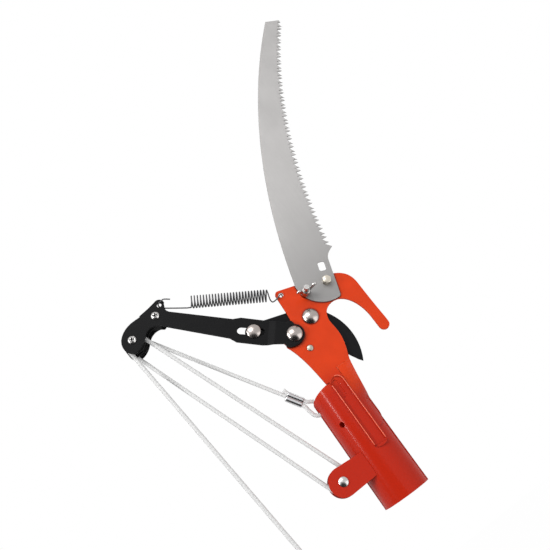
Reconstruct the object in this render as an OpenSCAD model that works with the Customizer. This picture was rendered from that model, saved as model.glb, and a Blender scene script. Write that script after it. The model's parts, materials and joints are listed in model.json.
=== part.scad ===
// Rope-worked tree pruner head: bypass cutter and curved saw on a pole socket.
// The pole stands along Z and enters the socket from below; the origin is on its axis at the mouth.
// The flat head plate faces -Y, and its hook is on the +X side.

/* [Head plate] */
// Thickness of the pressed head plate
plate_t = 2.5; // [2:0.1:3.5]
// Height of the spring corner above the socket mouth
spring_hole_z = 217.5; // [215:0.5:220]
// Place of the spring hole across the plate
spring_hole_x = 8.5; // [7:0.5:10]
// Diameter of the spring hole in plate and lever
spring_hole_d = 5; // [4:0.1:6]
// Width of the pressed channel over the socket
channel_w = 12.5; // [8:0.5:14]
// Depth that the plate's tail is let into the socket
tail_seat = 1.6; // [0.8:0.1:2]
// Depth of the pressed channel
channel_depth = 1.2; // [0.6:0.1:1.6]

/* [Pole socket] */
// Outer diameter of the rolled socket
socket_d = 48; // [44:0.5:54]
// Wall of the socket
socket_wall = 2.5; // [2:0.1:3.5]
// Height of the socket at its front rim
socket_h = 120; // [110:1:126]
// Depth that the pole goes into the socket
pole_depth = 95; // [85:1:98]
// How far the rim falls from front to back
rim_fall = 14; // [6:1:20]
// Width of the rolled seam at the back
seam_gap = 1.2; // [0.5:0.1:3]
// Diameter of the pole screw hole
screw_hole_d = 5.5; // [4:0.1:7]
// Height of the pole screw hole
screw_hole_z = 82; // [70:1:90]

/* [Main pivot and cutter] */
// Main pivot across the head
main_pivot_x = 20; // [19:0.5:21]
// Main pivot height
main_pivot_z = 183; // [182:0.5:184]
// Diameter of the main pivot bolt
main_bolt_d = 8; // [6:0.5:9]
// Diameter of the domed bolt heads
dome_d = 16; // [13:0.5:17]
// Thickness of the cutting blade
blade_t = 3.2; // [2.5:0.1:4]
// Radius of the curved cutting edge
blade_edge_r = 55.75; // [54:0.25:58]
// Width of the ground bevel on the cutting edge
bevel_w = 4; // [2:0.5:6]
// Diameter of the stop rivet
stop_d = 4; // [3:0.5:5]

/* [Lever] */
// Lever pivot across the head
lever_pivot_x = -3.5; // [-4:0.5:-3]
// Lever pivot height
lever_pivot_z = 176.5; // [176:0.5:177.5]
// Angle of the lever at rest, from +X
lever_angle = 141.7; // [140:0.1:143]
// Thickness of the lever strap
lever_t = 3; // [2.5:0.1:3.5]
// Diameter of the lever pivot bolt
lever_bolt_d = 8; // [6:0.5:9]
// Distance from lever pivot to slot pin
slot_pin_reach = 39.5; // [39:0.5:41]
// Width of the lever slot
slot_w = 7.4; // [7:0.1:8.5]
// Diameter of the slot pin
slot_pin_d = 4.5; // [4:0.1:4.6]

/* [Pulley block] */
// Distance from lever pivot to sheave axle, along the lever
axle_s = 155; // [150:0.5:158]
// Distance of the sheave axle below the lever line
axle_t = 17.5; // [16:0.5:19]
// Diameter of the block sheaves
sheave_d = 21.6; // [20:0.2:23]
// Width of every sheave
sheave_w = 9; // [7:0.5:10]
// Thickness of the middle and rear cheeks
cheek_t = 2; // [1.5:0.1:3]
// Diameter of the sheave axles
axle_d = 5; // [4:0.5:6]

/* [Body pulley] */
// Body pulley across the socket
body_pulley_x = -44; // [-48:0.5:-42]
// Body pulley height
body_pulley_z = 41; // [36:0.5:46]
// Diameter of the body sheave
body_sheave_d = 26; // [24:0.5:28]

/* [Saw] */
// Thickness of the saw blade
saw_t = 1.4; // [1:0.1:2]
// Number of teeth
saw_teeth = 58; // [40:2:70]
// Depth of the teeth
tooth_depth = 4; // [2.5:0.1:5]
// Straight distance from the first tooth to the last
toothed_len = 288.7; // [284:0.1:292]
// Radius of the saw's back
saw_back_r = 718; // [712:1:724]
// Radius of the toothed edge
saw_tooth_r = 667; // [662:1:672]
// Saw bolt across the head
saw_bolt_x = 54; // [52:0.5:55]
// Saw bolt height
saw_bolt_z = 204; // [203:0.5:205]
// Wing nut across the head
wing_x = 29.5; // [28.5:0.5:31]
// Wing nut height
wing_z = 204.6; // [203.6:0.2:205.6]
// Thread diameter of saw bolt and wing stud
saw_bolt_d = 5; // [4:0.5:6]

/* [Return spring] */
// Outer diameter of the coil
spring_d = 13; // [11:0.2:14]
// Diameter of the spring wire
wire_d = 1.3; // [1:0.1:1.8]
// Number of curls
spring_curls = 25; // [15:1:30]
// Length of the coil
coil_len = 74.5; // [70:0.5:80]

/* [Rope] */
// Diameter of the pull rope
rope_d = 4; // [3:0.1:4.2]
// Length of the crimped ferrule
ferrule_len = 17; // [12:1:20]

/* [Hidden] */
$fn = 48;

orange = [0.86, 0.22, 0.06];
black = [0.07, 0.07, 0.07];
steel = [0.62, 0.62, 0.64];
zinc = [0.78, 0.72, 0.56];
rope_white = [0.92, 0.92, 0.90];

// Clearances
run_gap = 0.05;
side_gap = 0.3;
rope_gap = 0.35;
sheave_side_gap = 0.5;
press_gap = 0.02;

socket_r = socket_d / 2;
bore_r = socket_r - socket_wall;
// Longer than any piece is deep, for cuts that go right through
far = 100;

// Layers from front to back, along Y
plate_front = tail_seat - plate_t - socket_r;
plate_back = plate_front + plate_t;
blade_front = plate_back + side_gap;
blade_back = blade_front + blade_t;
lever_back = blade_front - 0.4;
lever_front = lever_back - lever_t;
link_back = plate_front - side_gap;
link_front = link_back - lever_t;
block_pitch = sheave_w + 2 * sheave_side_gap;
mid_front = lever_back + block_pitch;
rear_front = mid_front + cheek_t + block_pitch;
rear_back = rear_front + cheek_t;
front_sheave_y = lever_back + block_pitch / 2;
rear_sheave_y = mid_front + cheek_t + block_pitch / 2;
body_sheave_y = (front_sheave_y + rear_sheave_y) / 2;
saw_front = plate_front - saw_t;

// Points on the head, as [x, z]
main_pivot = [main_pivot_x, main_pivot_z];
lever_pivot = [lever_pivot_x, lever_pivot_z];
slot_pin_at = on_lever([slot_pin_reach, 0]);
stop_at = main_pivot + 32 * [cos(234), sin(234)];
spring_hole = [spring_hole_x, spring_hole_z];
saw_bolt_at = [saw_bolt_x, saw_bolt_z];
wing_at = [wing_x, wing_z];
axle_at = on_lever([axle_s, axle_t]);
block_screw_st = [136.5, -8.5];
tab_hole_st = [134.5, -20];
tab_hole = on_lever(tab_hole_st);
body_pulley = [body_pulley_x, body_pulley_z];

// Places worked out on the lever, from its own length and width directions
function on_lever(p) = lever_pivot + rot2(p, lever_angle);
function rot2(p, a) = [p[0] * cos(a) - p[1] * sin(a), p[0] * sin(a) + p[1] * cos(a)];
function polar(c, r, a) = c + r * [cos(a), sin(a)];
function arc(c, r, a0, a1, n) = [for (i = [0:n]) polar(c, r, a0 + (a1 - a0) * i / n)];
function bez(a, b, c, d, n) = [for (i = [0:n]) let (t = i / n, s = 1 - t)
  s * s * s * a + 3 * s * s * t * b + 3 * s * t * t * c + t * t * t * d];
function round_slot(l, w, r) = [for (i = [0:3]) each arc([(i % 3 == 0 ? 1 : -1) * (l / 2 - r),
  (i < 2 ? 1 : -1) * (w / 2 - r)], r, 90 * i, 90 * i + 90, 4)];
function unit(v) = v / norm(v);
function angle_to(a, b) = atan2(b[1] - a[1], b[0] - a[0]);

// A sheet cut to a flat outline, from y0 to y1
module sheet(y0, y1) {
  translate([0, y1, 0]) rotate([90, 0, 0]) linear_extrude(y1 - y0) children();
}

// A round pin along Y
module pin(at, d, y0, y1) {
  translate([at[0], y1, at[1]]) rotate([90, 0, 0]) cylinder(d = d, h = y1 - y0);
}

// A hexagon along Y, measured across its flats
module hex(at, flats, y0, y1) {
  translate([at[0], y1, at[1]]) rotate([90, 0, 0]) cylinder(d = flats / cos(30), h = y1 - y0, $fn = 6);
}

// A solid turned about Y from a profile of [radius, y]
module turned(at, profile) {
  translate([at[0], 0, at[1]]) rotate([-90, 0, 0]) rotate_extrude() polygon(profile);
}

// A domed head, its flat at seat and its crown towards -Y
function dome_profile(d, h, seat) =
  let (rim = 0.8, r = d / 2, rise = h - rim, big = (rise * rise + r * r) / (2 * rise))
  concat([[0, seat], [r, seat], [r, seat - rim]],
    [for (i = [1:7]) let (x = r * (1 - i / 8)) [x, seat - h + big - sqrt(big * big - x * x)]],
    [[0, seat - h]]);

// A domed head and its shank, whose root stands in the head
root = 0.5;
module domed_pin(at, head_d, head_h, seat, d, end) {
  turned(at, dome_profile(head_d, head_h, seat));
  pin(at, d, seat - root, end);
}

// A flat bar outline with round ends of two sizes
module bar_outline(p, rp, q, rq) {
  a = angle_to(p, q);
  w = acos((rp - rq) / norm(q - p));
  polygon(concat(arc(p, rp, a + w, a + 360 - w, 24), arc(q, rq, a - w, a + w, 24)));
}

// A round tube swept along points in space
function tangent_at(p, i) = unit(p[min(i + 1, len(p) - 1)] - p[max(i - 1, 0)]);
function side_step(n, t) = unit(n - (n * t) * t);
function side_list(p, n0) = [for (i = 0, n = side_step(n0, tangent_at(p, 0)); i < len(p);
  i = i + 1, n = side_step(n, tangent_at(p, min(i, len(p) - 1)))) n];
module tube(p, d, sides, n0) {
  k = len(p);
  n = side_list(p, n0);
  ring = [for (i = [0:k - 1]) let (t = tangent_at(p, i), b = cross(t, n[i]))
    for (j = [0:sides - 1]) p[i] + d / 2 * (cos(360 * j / sides) * n[i] + sin(360 * j / sides) * b)];
  walls = [for (i = [0:k - 2], j = [0:sides - 1]) let (a = i * sides + j, b = i * sides + (j + 1) % sides)
    each [[a, a + sides, b], [b, a + sides, b + sides]]];
  caps = [for (j = [1:sides - 2]) each [[0, j, j + 1],
    [(k - 1) * sides, (k - 1) * sides + j + 1, (k - 1) * sides + j]]];
  polyhedron(points = ring, faces = concat(walls, caps), convexity = 8);
}
function straight(a, b, n) = [for (i = [0:n]) a + (b - a) * i / n];

// Head plate: neck, hook, spring corner and the tail that is welded to the socket
tail_x0 = -3;
tail_x1 = 11;
tail_z0 = 45;
hook_in_x = 69.3;
hook_out_x = 79.3;
hook_tip_z = 137;
hook_tip_r = (hook_out_x - hook_in_x) / 2 + 0.4;
lobe_r = 13.5;
function plate_outline() = concat(
  // hook tip, then up its outer edge and round the shoulder
  arc([(hook_in_x + hook_out_x) / 2 + 0.4, hook_tip_z], hook_tip_r, 180, 360, 10),
  bez([hook_out_x + 0.8, 142], [hook_out_x, 160], [hook_out_x, 175], [hook_out_x, 186], 6),
  bez([hook_out_x, 186], [hook_out_x, 197], [74, 203], [66, 207], 8),
  // top edge to the spring corner
  [[40, 214.5], [25.5, 218]],
  arc(spring_hole + [-1.3, 1.2], 4, 75, 190, 8),
  // left edge down to the lobe that carries the lever
  [[2.5, 200], [1.5, 190.5]],
  bez([1, 190], [-5, 191], [-11, 189], [-15, 184.5], 5),
  arc(lever_pivot, lobe_r, 146, 200, 6),
  bez([-16.8, 170], [-11, 158], [-8.5, 143], [-6.4, socket_h + 0.5], 10),
  // tail down the socket
  [[-6.4, socket_h], [tail_x0, socket_h], [tail_x0, tail_z0 + 6]],
  bez([tail_x0, tail_z0 + 6], [tail_x0, tail_z0], [tail_x1, tail_z0], [tail_x1, tail_z0 + 6], 8),
  // lower edge over the shoulder, then the right edge of the neck
  [[tail_x1, shoulder_top]],
  bez([shoulder_x, shoulder_top], [29.4, 136.5], [33.6, 144.8], [33.6, 156], 7),
  bez([33.6, 156], [33.6, 163], [32, 168], [33, 171.5], 5),
  // inside of the hook
  bez([33, 171.5], [34.5, 179.5], [41, 184.2], [49, 183.8], 8),
  bez([49, 183.8], [61, 183], [hook_in_x, 167], [hook_in_x, 150], 10)
);

module channel() {
  x = tail_x0 + channel_w / 2;
  top = socket_h + 2 - channel_w / 2;
  sheet(plate_front - 1, plate_front + channel_depth)
    polygon(concat(arc([x, top], channel_w / 2, 0, 180, 16),
    [[x - channel_w / 2, tail_z0 + 4], [x + channel_w / 2, tail_z0 + 4]]));
}

// A raised bead along one side of the channel
bead_r = 0.9;
module channel_bead(x, top) {
  foot = tail_z0 + 6;
  translate([x, plate_front + 0.2, foot]) cylinder(r = bead_r, h = top - foot);
  for (z = [foot, top]) translate([x, plate_front + 0.2, z]) sphere(bead_r);
}

module head_plate() {
  color(orange) difference() {
    union() {
      difference() {
        sheet(plate_front, plate_back) polygon(plate_outline());
        channel();
        // deeper pocket at the channel's head
        sheet(-far, plate_front + 2) bar_outline([1.6, 103], 2.6, [1.6, socket_h - 3], 2.599);
      }
      channel_bead(tail_x0 + 0.4, socket_h - 4);
      channel_bead(tail_x1 - 1, socket_h - 6);
    }
    pin(main_pivot, main_bolt_d + 2 * press_gap, -far, far);
    pin(lever_pivot, lever_bolt_d + 2 * press_gap, -far, far);
    pin(stop_at, stop_d + 2 * press_gap, -far, far);
    pin(spring_hole, spring_hole_d, -far, far);
    pin(saw_bolt_at, saw_bolt_d + 0.4, -far, far);
    pin(wing_at, saw_bolt_d + 0.4, -far, far);
  }
}

// Rolled shoulder: flat where it leaves the plate, wrapped round the socket below
shoulder_top = 128;
shoulder_round = 90;
shoulder_foot = 62;
shoulder_x = 26.35;
shoulder_wrap_x = 23.9;
wrap_t = -plate_front - socket_r - 0.05;
function rolled(z) = min(1, (shoulder_top - z) / (shoulder_top - shoulder_round));
// A point of the shoulder: share runs across it, z up it, depth in from its outer face
function shoulder_point(share, z, depth) =
  let (roll = rolled(z), r = -plate_front / max(roll, 0.002),
    t = depth * (plate_t + (wrap_t - plate_t) * roll),
    edge = shoulder_wrap_x + (shoulder_x - shoulder_wrap_x) * (1 - roll) * (1 - roll),
    a0 = asin((tail_x1 + 0.35) / r), a = a0 + (asin(edge / r) - a0) * share)
  [(r - t) * sin(a), plate_front + r - (r - t) * cos(a), z];
module neck_shoulder() {
  rows = 14;
  cols = 6;
  wide = cols + 1;
  skin = (rows + 1) * wide;
  points = [for (depth = [0, 1], i = [0:rows], j = [0:cols]) let (share = j / cols,
    foot = shoulder_foot + 12 * share * share)
    shoulder_point(share, foot + (shoulder_top - 0.05 - foot) * i / rows, depth)];
  cells = [for (i = [0:rows - 1], j = [0:cols - 1]) i * wide + j];
  rim = concat([for (j = [0:cols - 1]) j], [for (i = [0:rows - 1]) i * wide + cols],
    [for (j = [cols:-1:1]) rows * wide + j], [for (i = [rows:-1:1]) i * wide]);
  color(orange) polyhedron(points = points, faces = concat(
    [for (c = cells) each [[c, c + wide, c + 1], [c + 1, c + wide, c + wide + 1]]],
    [for (c = cells) let (d = c + skin) each [[d, d + 1, d + wide], [d + 1, d + wide + 1, d + wide]]],
    [for (k = [0:len(rim) - 1]) let (a = rim[k], b = rim[(k + 1) % len(rim)])
      each [[a, b, a + skin], [b, b + skin, a + skin]]]));
}

// Rolled socket with a slanted rim, a seam at the back and a seat for the plate's tail.
// The bore is eased above the pole's end.
rope_hole_z = socket_h - 17;
pole_relief = 0.4;
rim_slope = rim_fall / socket_d;
module pole_socket() {
  color(orange) difference() {
    cylinder(r = socket_r, h = socket_h);
    translate([0, 0, -1]) cylinder(r = bore_r, h = socket_h + 2);
    translate([0, 0, pole_depth]) cylinder(r = bore_r + pole_relief, h = socket_h);
    translate([0, -socket_r, socket_h]) rotate([-atan(rim_slope), 0, 0])
      translate([-socket_d, -socket_d, 0]) cube([2 * socket_d, 3 * socket_d, socket_d]);
    sheet(plate_front - 1, plate_back) polygon(plate_outline());
    translate([-seam_gap / 2, bore_r - 1, -1]) cube([seam_gap, socket_wall + 2, socket_h + 2]);
    translate([0, 0, screw_hole_z]) rotate([90, 0, -40]) cylinder(d = screw_hole_d, h = socket_d);
    translate([-socket_d, 0, rope_hole_z]) rotate([0, 90, 0]) cylinder(d = rope_d + 2.6, h = socket_d);
  }
}

// Stop rivet: its tail stands behind the plate and meets the blade's heel
module stop_rivet() {
  color(zinc) union() domed_pin(stop_at, 6, 1.4, plate_front, stop_d, blade_back);
}

// Main pivot
washer_t = 1;
nut_t = 5.5;
main_nut_flats = 13;
module main_pivot_bolt() {
  color(steel) union()
    domed_pin(main_pivot, dome_d, 4.2, plate_front, main_bolt_d, blade_back + 0.1 + washer_t + nut_t + 1.5);
}
module main_pivot_washer() {
  color(steel) difference() {
    pin(main_pivot, 16, blade_back + 0.1, blade_back + 0.1 + washer_t);
    pin(main_pivot, main_bolt_d + 2 * press_gap, -far, far);
  }
}
module main_pivot_nut() {
  y0 = blade_back + 0.1 + washer_t;
  color(steel) difference() {
    union() {
      hex(main_pivot, main_nut_flats, y0, y0 + nut_t - 1.5);
      pin(main_pivot, main_nut_flats - 1.5, y0 + nut_t - 1.5 - root, y0 + nut_t);
    }
    pin(main_pivot, main_bolt_d + 2 * press_gap, -far, far);
  }
}

// Cutting blade: curved edge, straight spine, stop heel and tail to the slot pin
blade_boss_r = 13;
blade_tail_r = 8.5;
edge_centre = [-11, 148];
blade_tip = polar(edge_centre, blade_edge_r, -31);
tail_angle = angle_to(main_pivot, slot_pin_at);
heel_at = 234 + 2 * asin((stop_d + 2 * side_gap) / 4 / 32);
module blade_outline() {
  polygon(concat(
    [blade_tip],
    arc(edge_centre, blade_edge_r, -30, 31, 24),
    arc(main_pivot, blade_boss_r, 20, 100, 8),
    [polar(slot_pin_at, blade_tail_r, tail_angle - 90)],
    arc(slot_pin_at, blade_tail_r, tail_angle - 80, tail_angle + 80, 12),
    [polar(slot_pin_at, blade_tail_r, tail_angle + 90)],
    [polar(polar(main_pivot, 22, tail_angle), blade_tail_r, tail_angle + 90)],
    bez(polar(main_pivot, 15, 224), polar(main_pivot, 20, heel_at - 1), polar(main_pivot, 24, heel_at),
      polar(main_pivot, 29, heel_at), 5),
    arc(main_pivot, 35, heel_at + 0.5, heel_at + 12, 4),
    [polar(main_pivot, 33, 262), [28.8, 133.3]]
  ));
}
module cutting_blade() {
  color(black) difference() {
    sheet(blade_front, blade_back) blade_outline();
    pin(main_pivot, main_bolt_d + 2 * run_gap, -far, far);
    pin(slot_pin_at, slot_pin_d + 2 * press_gap, -far, far);
    // bevel ground on the back of the curved edge
    turned(edge_centre, [[blade_edge_r - bevel_w, blade_back + 0.01], [blade_edge_r + 1, blade_front + 0.5],
      [blade_edge_r + 1, blade_back + 0.01]]);
  }
}

// Slot pin: fixed in the blade's tail, its head in front of the lever
module slot_pin() {
  color(steel) union() {
    domed_pin(slot_pin_at, 14, 3, lever_front - side_gap, slot_pin_d, blade_back + root);
    pin(slot_pin_at, 8, blade_back, blade_back + 1.4);
  }
}

// Lever: one strap with a joggle past the plate's edge, a spring tab and the front cheek
joggle_s0 = 19;
joggle_s1 = 25;
slot_s0 = 32;
slot_s1 = 52;
link_r = 9.6;
lever_reach = axle_s + 25;
// Rounded end that carries the sheaves, shared by the lever and both cheeks
function block_end() = let (a = [axle_s, axle_t]) concat(
  [a + [-3, -23]],
  bez(a + [0.4, -20], a + [7, -14.5], a + [11, -6.5], a + [10.3, 1.5], 6),
  bez(a + [10.3, 1.5], a + [9, 9.5], a + [3.5, 13.5], a + [-3, 13.1], 6),
  bez(a + [-3, 13.1], a + [-9, 11.5], a + [-12.4, 2.5], a + [-12, -5], 6),
  bez(a + [-12, -5], a + [-12.4, -12.5], a + [-17, -16.2], a + [-24.7, -16.8], 6)
);
function lever_outline() = concat(
  arc([0, 0], link_r, 90, 270, 16),
  [[24, -11.5], [53, -13], [61, -11], [124, -14]],
  bez([124, -14], [129, -15], [129, -19], [130.5, -23], 5),
  arc(tab_hole_st, 5.6, 220, 340, 6),
  [[146, -13.5]],
  block_end(),
  [[62, 8.2], [55, 11.5], [30, 12.6]]
);
module lever() {
  color(black) difference() {
    translate([lever_pivot[0], 0, lever_pivot[1]]) rotate([0, -lever_angle, 0]) intersection() {
      sheet(link_front - 1, lever_back + 1) polygon(lever_outline());
      translate([0, 0, -60]) linear_extrude(120) polygon([
        [-20, link_front], [joggle_s0, link_front], [joggle_s1, lever_front], [lever_reach, lever_front],
        [lever_reach, lever_back], [joggle_s1, lever_back], [joggle_s0, link_back], [-20, link_back]]);
    }
    pin(lever_pivot, lever_bolt_d + 2 * run_gap, -far, far);
    pin(axle_at, axle_d + 2 * press_gap, -far, far);
    pin(on_lever(block_screw_st), axle_d + 2 * press_gap, -far, far);
    pin(tab_hole, spring_hole_d, -far, far);
    sheet(-far, far) translate(lever_pivot) rotate(lever_angle)
      bar_outline([slot_s0, 0], slot_w / 2, [slot_s1, 0], slot_w / 2 - 0.001);
  }
}

// Lever pivot bolt: riveted flush at the back of the plate
module lever_pivot_bolt() {
  color(steel) union() domed_pin(lever_pivot, dome_d - 0.5, 4, link_front - 0.1, lever_bolt_d, plate_back);
}

// Pulley block behind the lever's end
module block_cheek(y0) {
  screw = on_lever(block_screw_st);
  color(black) difference() {
    sheet(y0, y0 + cheek_t) translate(lever_pivot) rotate(lever_angle)
      polygon(concat(block_end(), arc(block_screw_st, 9, 130, 295, 10)));
    pin(screw, axle_d + 2 * press_gap, -far, far);
    pin(axle_at, axle_d + 2 * press_gap, -far, far);
  }
}
module mid_cheek() { block_cheek(mid_front); }
module rear_cheek() { block_cheek(rear_front); }

// Spacers stand a little proud of the cheeks on their upper side
spacer_outline = [[7.7, -9.2], [16.2, 0.7], [7.5, 9.5], [-3.5, 5.5], [-5.5, -3.5], [1.5, -8.5]];
module spacer(y0) {
  screw = on_lever(block_screw_st);
  difference() {
    sheet(y0, y0 + block_pitch) translate(screw) rotate(lever_angle) polygon(spacer_outline);
    pin(screw, axle_d + 2 * press_gap, -far, far);
  }
}
module block_spacers() {
  color(black) {
    spacer(lever_back);
    spacer(mid_front + cheek_t);
  }
}

screw_head_d = 8;
module cheek_screw(at) {
  color(steel) difference() {
    union() domed_pin(at, screw_head_d, 2.4, lever_front, axle_d, rear_back + 5);
    for (a = [0, 90]) translate([at[0], lever_front - 1, at[1]]) rotate([0, a + 20, 0])
      translate([-2.4, -2, -0.6]) cube([4.8, 2, 1.2]);
  }
}
module block_screw() { cheek_screw(on_lever(block_screw_st)); }
module sheave_axle_screw() { cheek_screw(axle_at); }
module block_nuts() {
  color(steel) for (at = [on_lever(block_screw_st), axle_at]) difference() {
    hex(at, 8, rear_back, rear_back + 4);
    pin(at, axle_d + 2 * press_gap, -far, far);
  }
}

// Sheaves: a round groove for the rope, flared to the rim
wrap_r = sheave_d / 2 - rope_d / 2;
body_wrap_r = body_sheave_d / 2 - rope_d / 2 - 0.2;
function sheave_profile(d, wrap, y) = let (g = rope_d / 2 + rope_gap, h = sheave_w / 2)
  concat([[axle_d / 2 + run_gap, y - h], [d / 2 - 0.5, y - h], [d / 2, y - h + 0.5], [d / 2, y - g - 1.2]],
    [for (i = [0:8]) let (a = -90 - i * 22.5) [wrap + g * cos(a), y + g * sin(a)]],
    [[d / 2, y + g + 1.2], [d / 2, y + h - 0.5], [d / 2 - 0.5, y + h], [axle_d / 2 + run_gap, y + h]]);
module front_sheave() { color(black) turned(axle_at, sheave_profile(sheave_d, wrap_r, front_sheave_y)); }
module rear_sheave() { color(black) turned(axle_at, sheave_profile(sheave_d, wrap_r, rear_sheave_y)); }
module body_sheave() {
  color(black) turned(body_pulley, sheave_profile(body_sheave_d, body_wrap_r, body_sheave_y));
}

// Body pulley bracket: two cheeks welded to the side of the socket
bracket_t = 2.2;
bracket_r = body_sheave_d / 2 + 0.5;
bracket_y0 = body_sheave_y - block_pitch / 2 - bracket_t;
bracket_y1 = body_sheave_y + block_pitch / 2;
module pulley_bracket() {
  color(orange) difference() {
    for (y = [bracket_y0, bracket_y1]) sheet(y, y + bracket_t)
      bar_outline(body_pulley, bracket_r, [-8, body_pulley_z], bracket_r - 2);
    translate([0, 0, -far]) cylinder(r = socket_r + press_gap, h = 2 * far);
    translate([0, -far, -far]) cube(2 * far);
    pin(body_pulley, axle_d + 2 * press_gap, -far, far);
  }
}
module body_pulley_rivet() {
  color(steel) union() {
    domed_pin(body_pulley, 9, 2.2, bracket_y0, axle_d, bracket_y1 + bracket_t + root);
    pin(body_pulley, 8, bracket_y1 + bracket_t, bracket_y1 + bracket_t + 1.6);
  }
}

// Saw: curved back, curved row of paired pull teeth, rounded foot and hanging slot
back_heel = [25.3, 217.4];
back_lean = 15;
saw_back_c = back_heel + saw_back_r * [cos(back_lean), -sin(back_lean)];
saw_heel = [81, 239];
saw_lean = 12.2;
saw_tooth_c = saw_heel + saw_tooth_r * [cos(saw_lean), -sin(saw_lean)];
tooth_a0 = angle_to(saw_tooth_c, saw_heel);
tooth_a1 = tooth_a0 - 2 * asin(toothed_len / (2 * saw_tooth_r));
nose_len = 7.3;
saw_nose = polar(saw_tooth_c, saw_tooth_r + tooth_depth, tooth_a1 - asin(nose_len / saw_tooth_r));
saw_foot_c = [54, 213];
saw_foot_r = 30;
function tooth_angle(i) = tooth_a0 + (tooth_a1 - tooth_a0) * (i + (i % 2) * 0.12) / saw_teeth;
function gullet_angle(i) = tooth_angle(i) + 0.75 * (tooth_angle(i + 1) - tooth_angle(i));
function saw_outline() = concat(
  [[56, 182.5], [70.5, 225.6], [77, 230.5]],
  [for (i = [0:saw_teeth - 1]) each [
    polar(saw_tooth_c, saw_tooth_r, tooth_angle(i + 0.12)),
    polar(saw_tooth_c, saw_tooth_r + tooth_depth, gullet_angle(i))]],
  [saw_nose],
  arc(saw_back_c, saw_back_r, angle_to(saw_back_c, saw_nose) + 0.4,
    angle_to(saw_back_c, back_heel) - 0.2, 24),
  arc(saw_foot_c, saw_foot_r, 172, 274, 12)
);
module saw_blade() {
  color(steel) difference() {
    sheet(saw_front, plate_front) polygon(saw_outline());
    pin(saw_bolt_at, saw_bolt_d + 0.4, -far, far);
    pin(wing_at, saw_bolt_d + 0.4, -far, far);
    sheet(-far, far) translate([59.7, 219.7]) rotate(72) polygon(round_slot(9.8, 7.2, 2));
  }
}

// Saw fasteners
module saw_bolt() {
  color(zinc) union() {
    hex(saw_bolt_at, 8, saw_front - 5.4, saw_front);
    domed_pin(saw_bolt_at, 7.6, 1.4, saw_front - 5.4, saw_bolt_d, plate_back + 5.5);
  }
}
module saw_bolt_nut() {
  color(zinc) difference() {
    hex(saw_bolt_at, 8, plate_back, plate_back + 4);
    pin(saw_bolt_at, saw_bolt_d + 2 * press_gap, -far, far);
  }
}
// The stud carries a lock nut under the wing nut
wing_lift = 3;
module wing_stud() {
  color(steel) union() {
    turned(wing_at, [[0, plate_back], [5.5, plate_back], [5.5, plate_back + 0.8], [4, plate_back + 2.2],
      [0, plate_back + 2.8]]);
    hex(wing_at, 8, saw_front - wing_lift, saw_front);
    pin(wing_at, saw_bolt_d, saw_front - 18, plate_back + root);
  }
}
wing_base_r = 4.6;
wing_turn = -5;
module wing_nut() {
  y0 = saw_front - wing_lift - 0.1;
  boss_y = y0 - 6.4;
  ear = [8.4, y0 - 11];
  color(steel) difference() {
    union() {
      turned(wing_at, [[0, y0], [wing_base_r, y0], [wing_base_r - 0.9, boss_y], [0, boss_y]]);
      translate([wing_at[0], 0, wing_at[1]]) rotate([0, -wing_turn, 0]) translate([0, 0, -0.9])
        linear_extrude(1.8) for (m = [1, -1]) polygon(concat([[m * 2, y0 - 1], [m * 4.2, y0 - 1]],
          [for (p = arc(ear, 2.6, -40, 150, 10)) [m * p[0], 2 * ear[1] - p[1]]],
          [[m * 3, boss_y], [m * 2, boss_y]]));
    }
    pin(wing_at, saw_bolt_d + 2 * run_gap, -far, far);
  }
}

// Return spring, drawn along its own axis from the plate's hole to the lever's tab
spring_y = plate_front + plate_t / 2;
spring_axis_len = norm(tab_hole - spring_hole);
spring_turn = angle_to(spring_hole, tab_hole);
coil_r = (spring_d - wire_d) / 2;
coil_u0 = 14;
// The coil lies a little above the line between its hooks
coil_lift = 0.85;
coil_low = coil_r - coil_lift;
coil_u1 = coil_u0 + coil_len;
spring_rings = 8;
// u runs along the spring, w across it in the head's plane, y to the back
function in_spring(u, w, y) = let (p = spring_hole + rot2([u, w], spring_turn)) [p[0], spring_y + y, p[1]];
function coil_points() = [for (i = [0:spring_curls * spring_rings]) let (a = 360 * i / spring_rings)
  in_spring(coil_u0 + coil_len * i / (spring_curls * spring_rings), coil_low + coil_r * (cos(a) - 1),
    coil_r * sin(a))];
function plate_hook() = [
  in_spring(-1.2, 1.4, 4.2), in_spring(-1.6, 0.8, 2.6), in_spring(-1.2, 0.3, 0.6), in_spring(-0.8, 0, -1.6),
  in_spring(0.6, 0.2, -3.4), in_spring(3, 2, -3.4), in_spring(6.2, 4.6, -2.2), in_spring(9.6, 6.6, -0.8)];
coil_end = coil_u1 + 2 * wire_d;
function spring_points() = concat(plate_hook(), coil_points(),
  [in_spring(coil_u1 + wire_d, coil_low, 0), in_spring(coil_end, coil_low, 0)]);
module return_spring() {
  color(steel) tube(spring_points(), wire_d, 6, [0, 1, 0]);
}
function draw_hook() = [
  in_spring(coil_end + 0.05, coil_low, 0), in_spring(coil_end + wire_d, coil_low, 0),
  in_spring(coil_u1 + 12.5, 3.4, 1), in_spring(coil_u1 + 22.5, 2.4, 2.6), in_spring(coil_u1 + 28, 1.6, 3.6),
  in_spring(spring_axis_len - 0.6, 0.8, 3.4), in_spring(spring_axis_len + 0.8, 0, 1.6),
  in_spring(spring_axis_len + 0.8, -0.4, -1.2), in_spring(spring_axis_len - 0.4, -1.4, -3.4),
  in_spring(spring_axis_len - 3, -3.4, -4), in_spring(spring_axis_len - 5.1, -4.8, -4),
  in_spring(spring_axis_len - 11.3, -4.2, -4)];
module spring_draw_hook() {
  color(steel) tube(draw_hook(), wire_d, 6, [0, 1, 0]);
}
spring_pts = spring_points();
echo(least_spring_gap = min([for (i = [0:len(spring_pts) - 7], j = [i + 6:len(spring_pts) - 1])
  norm(spring_pts[i] - spring_pts[j])]) - wire_d);

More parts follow.
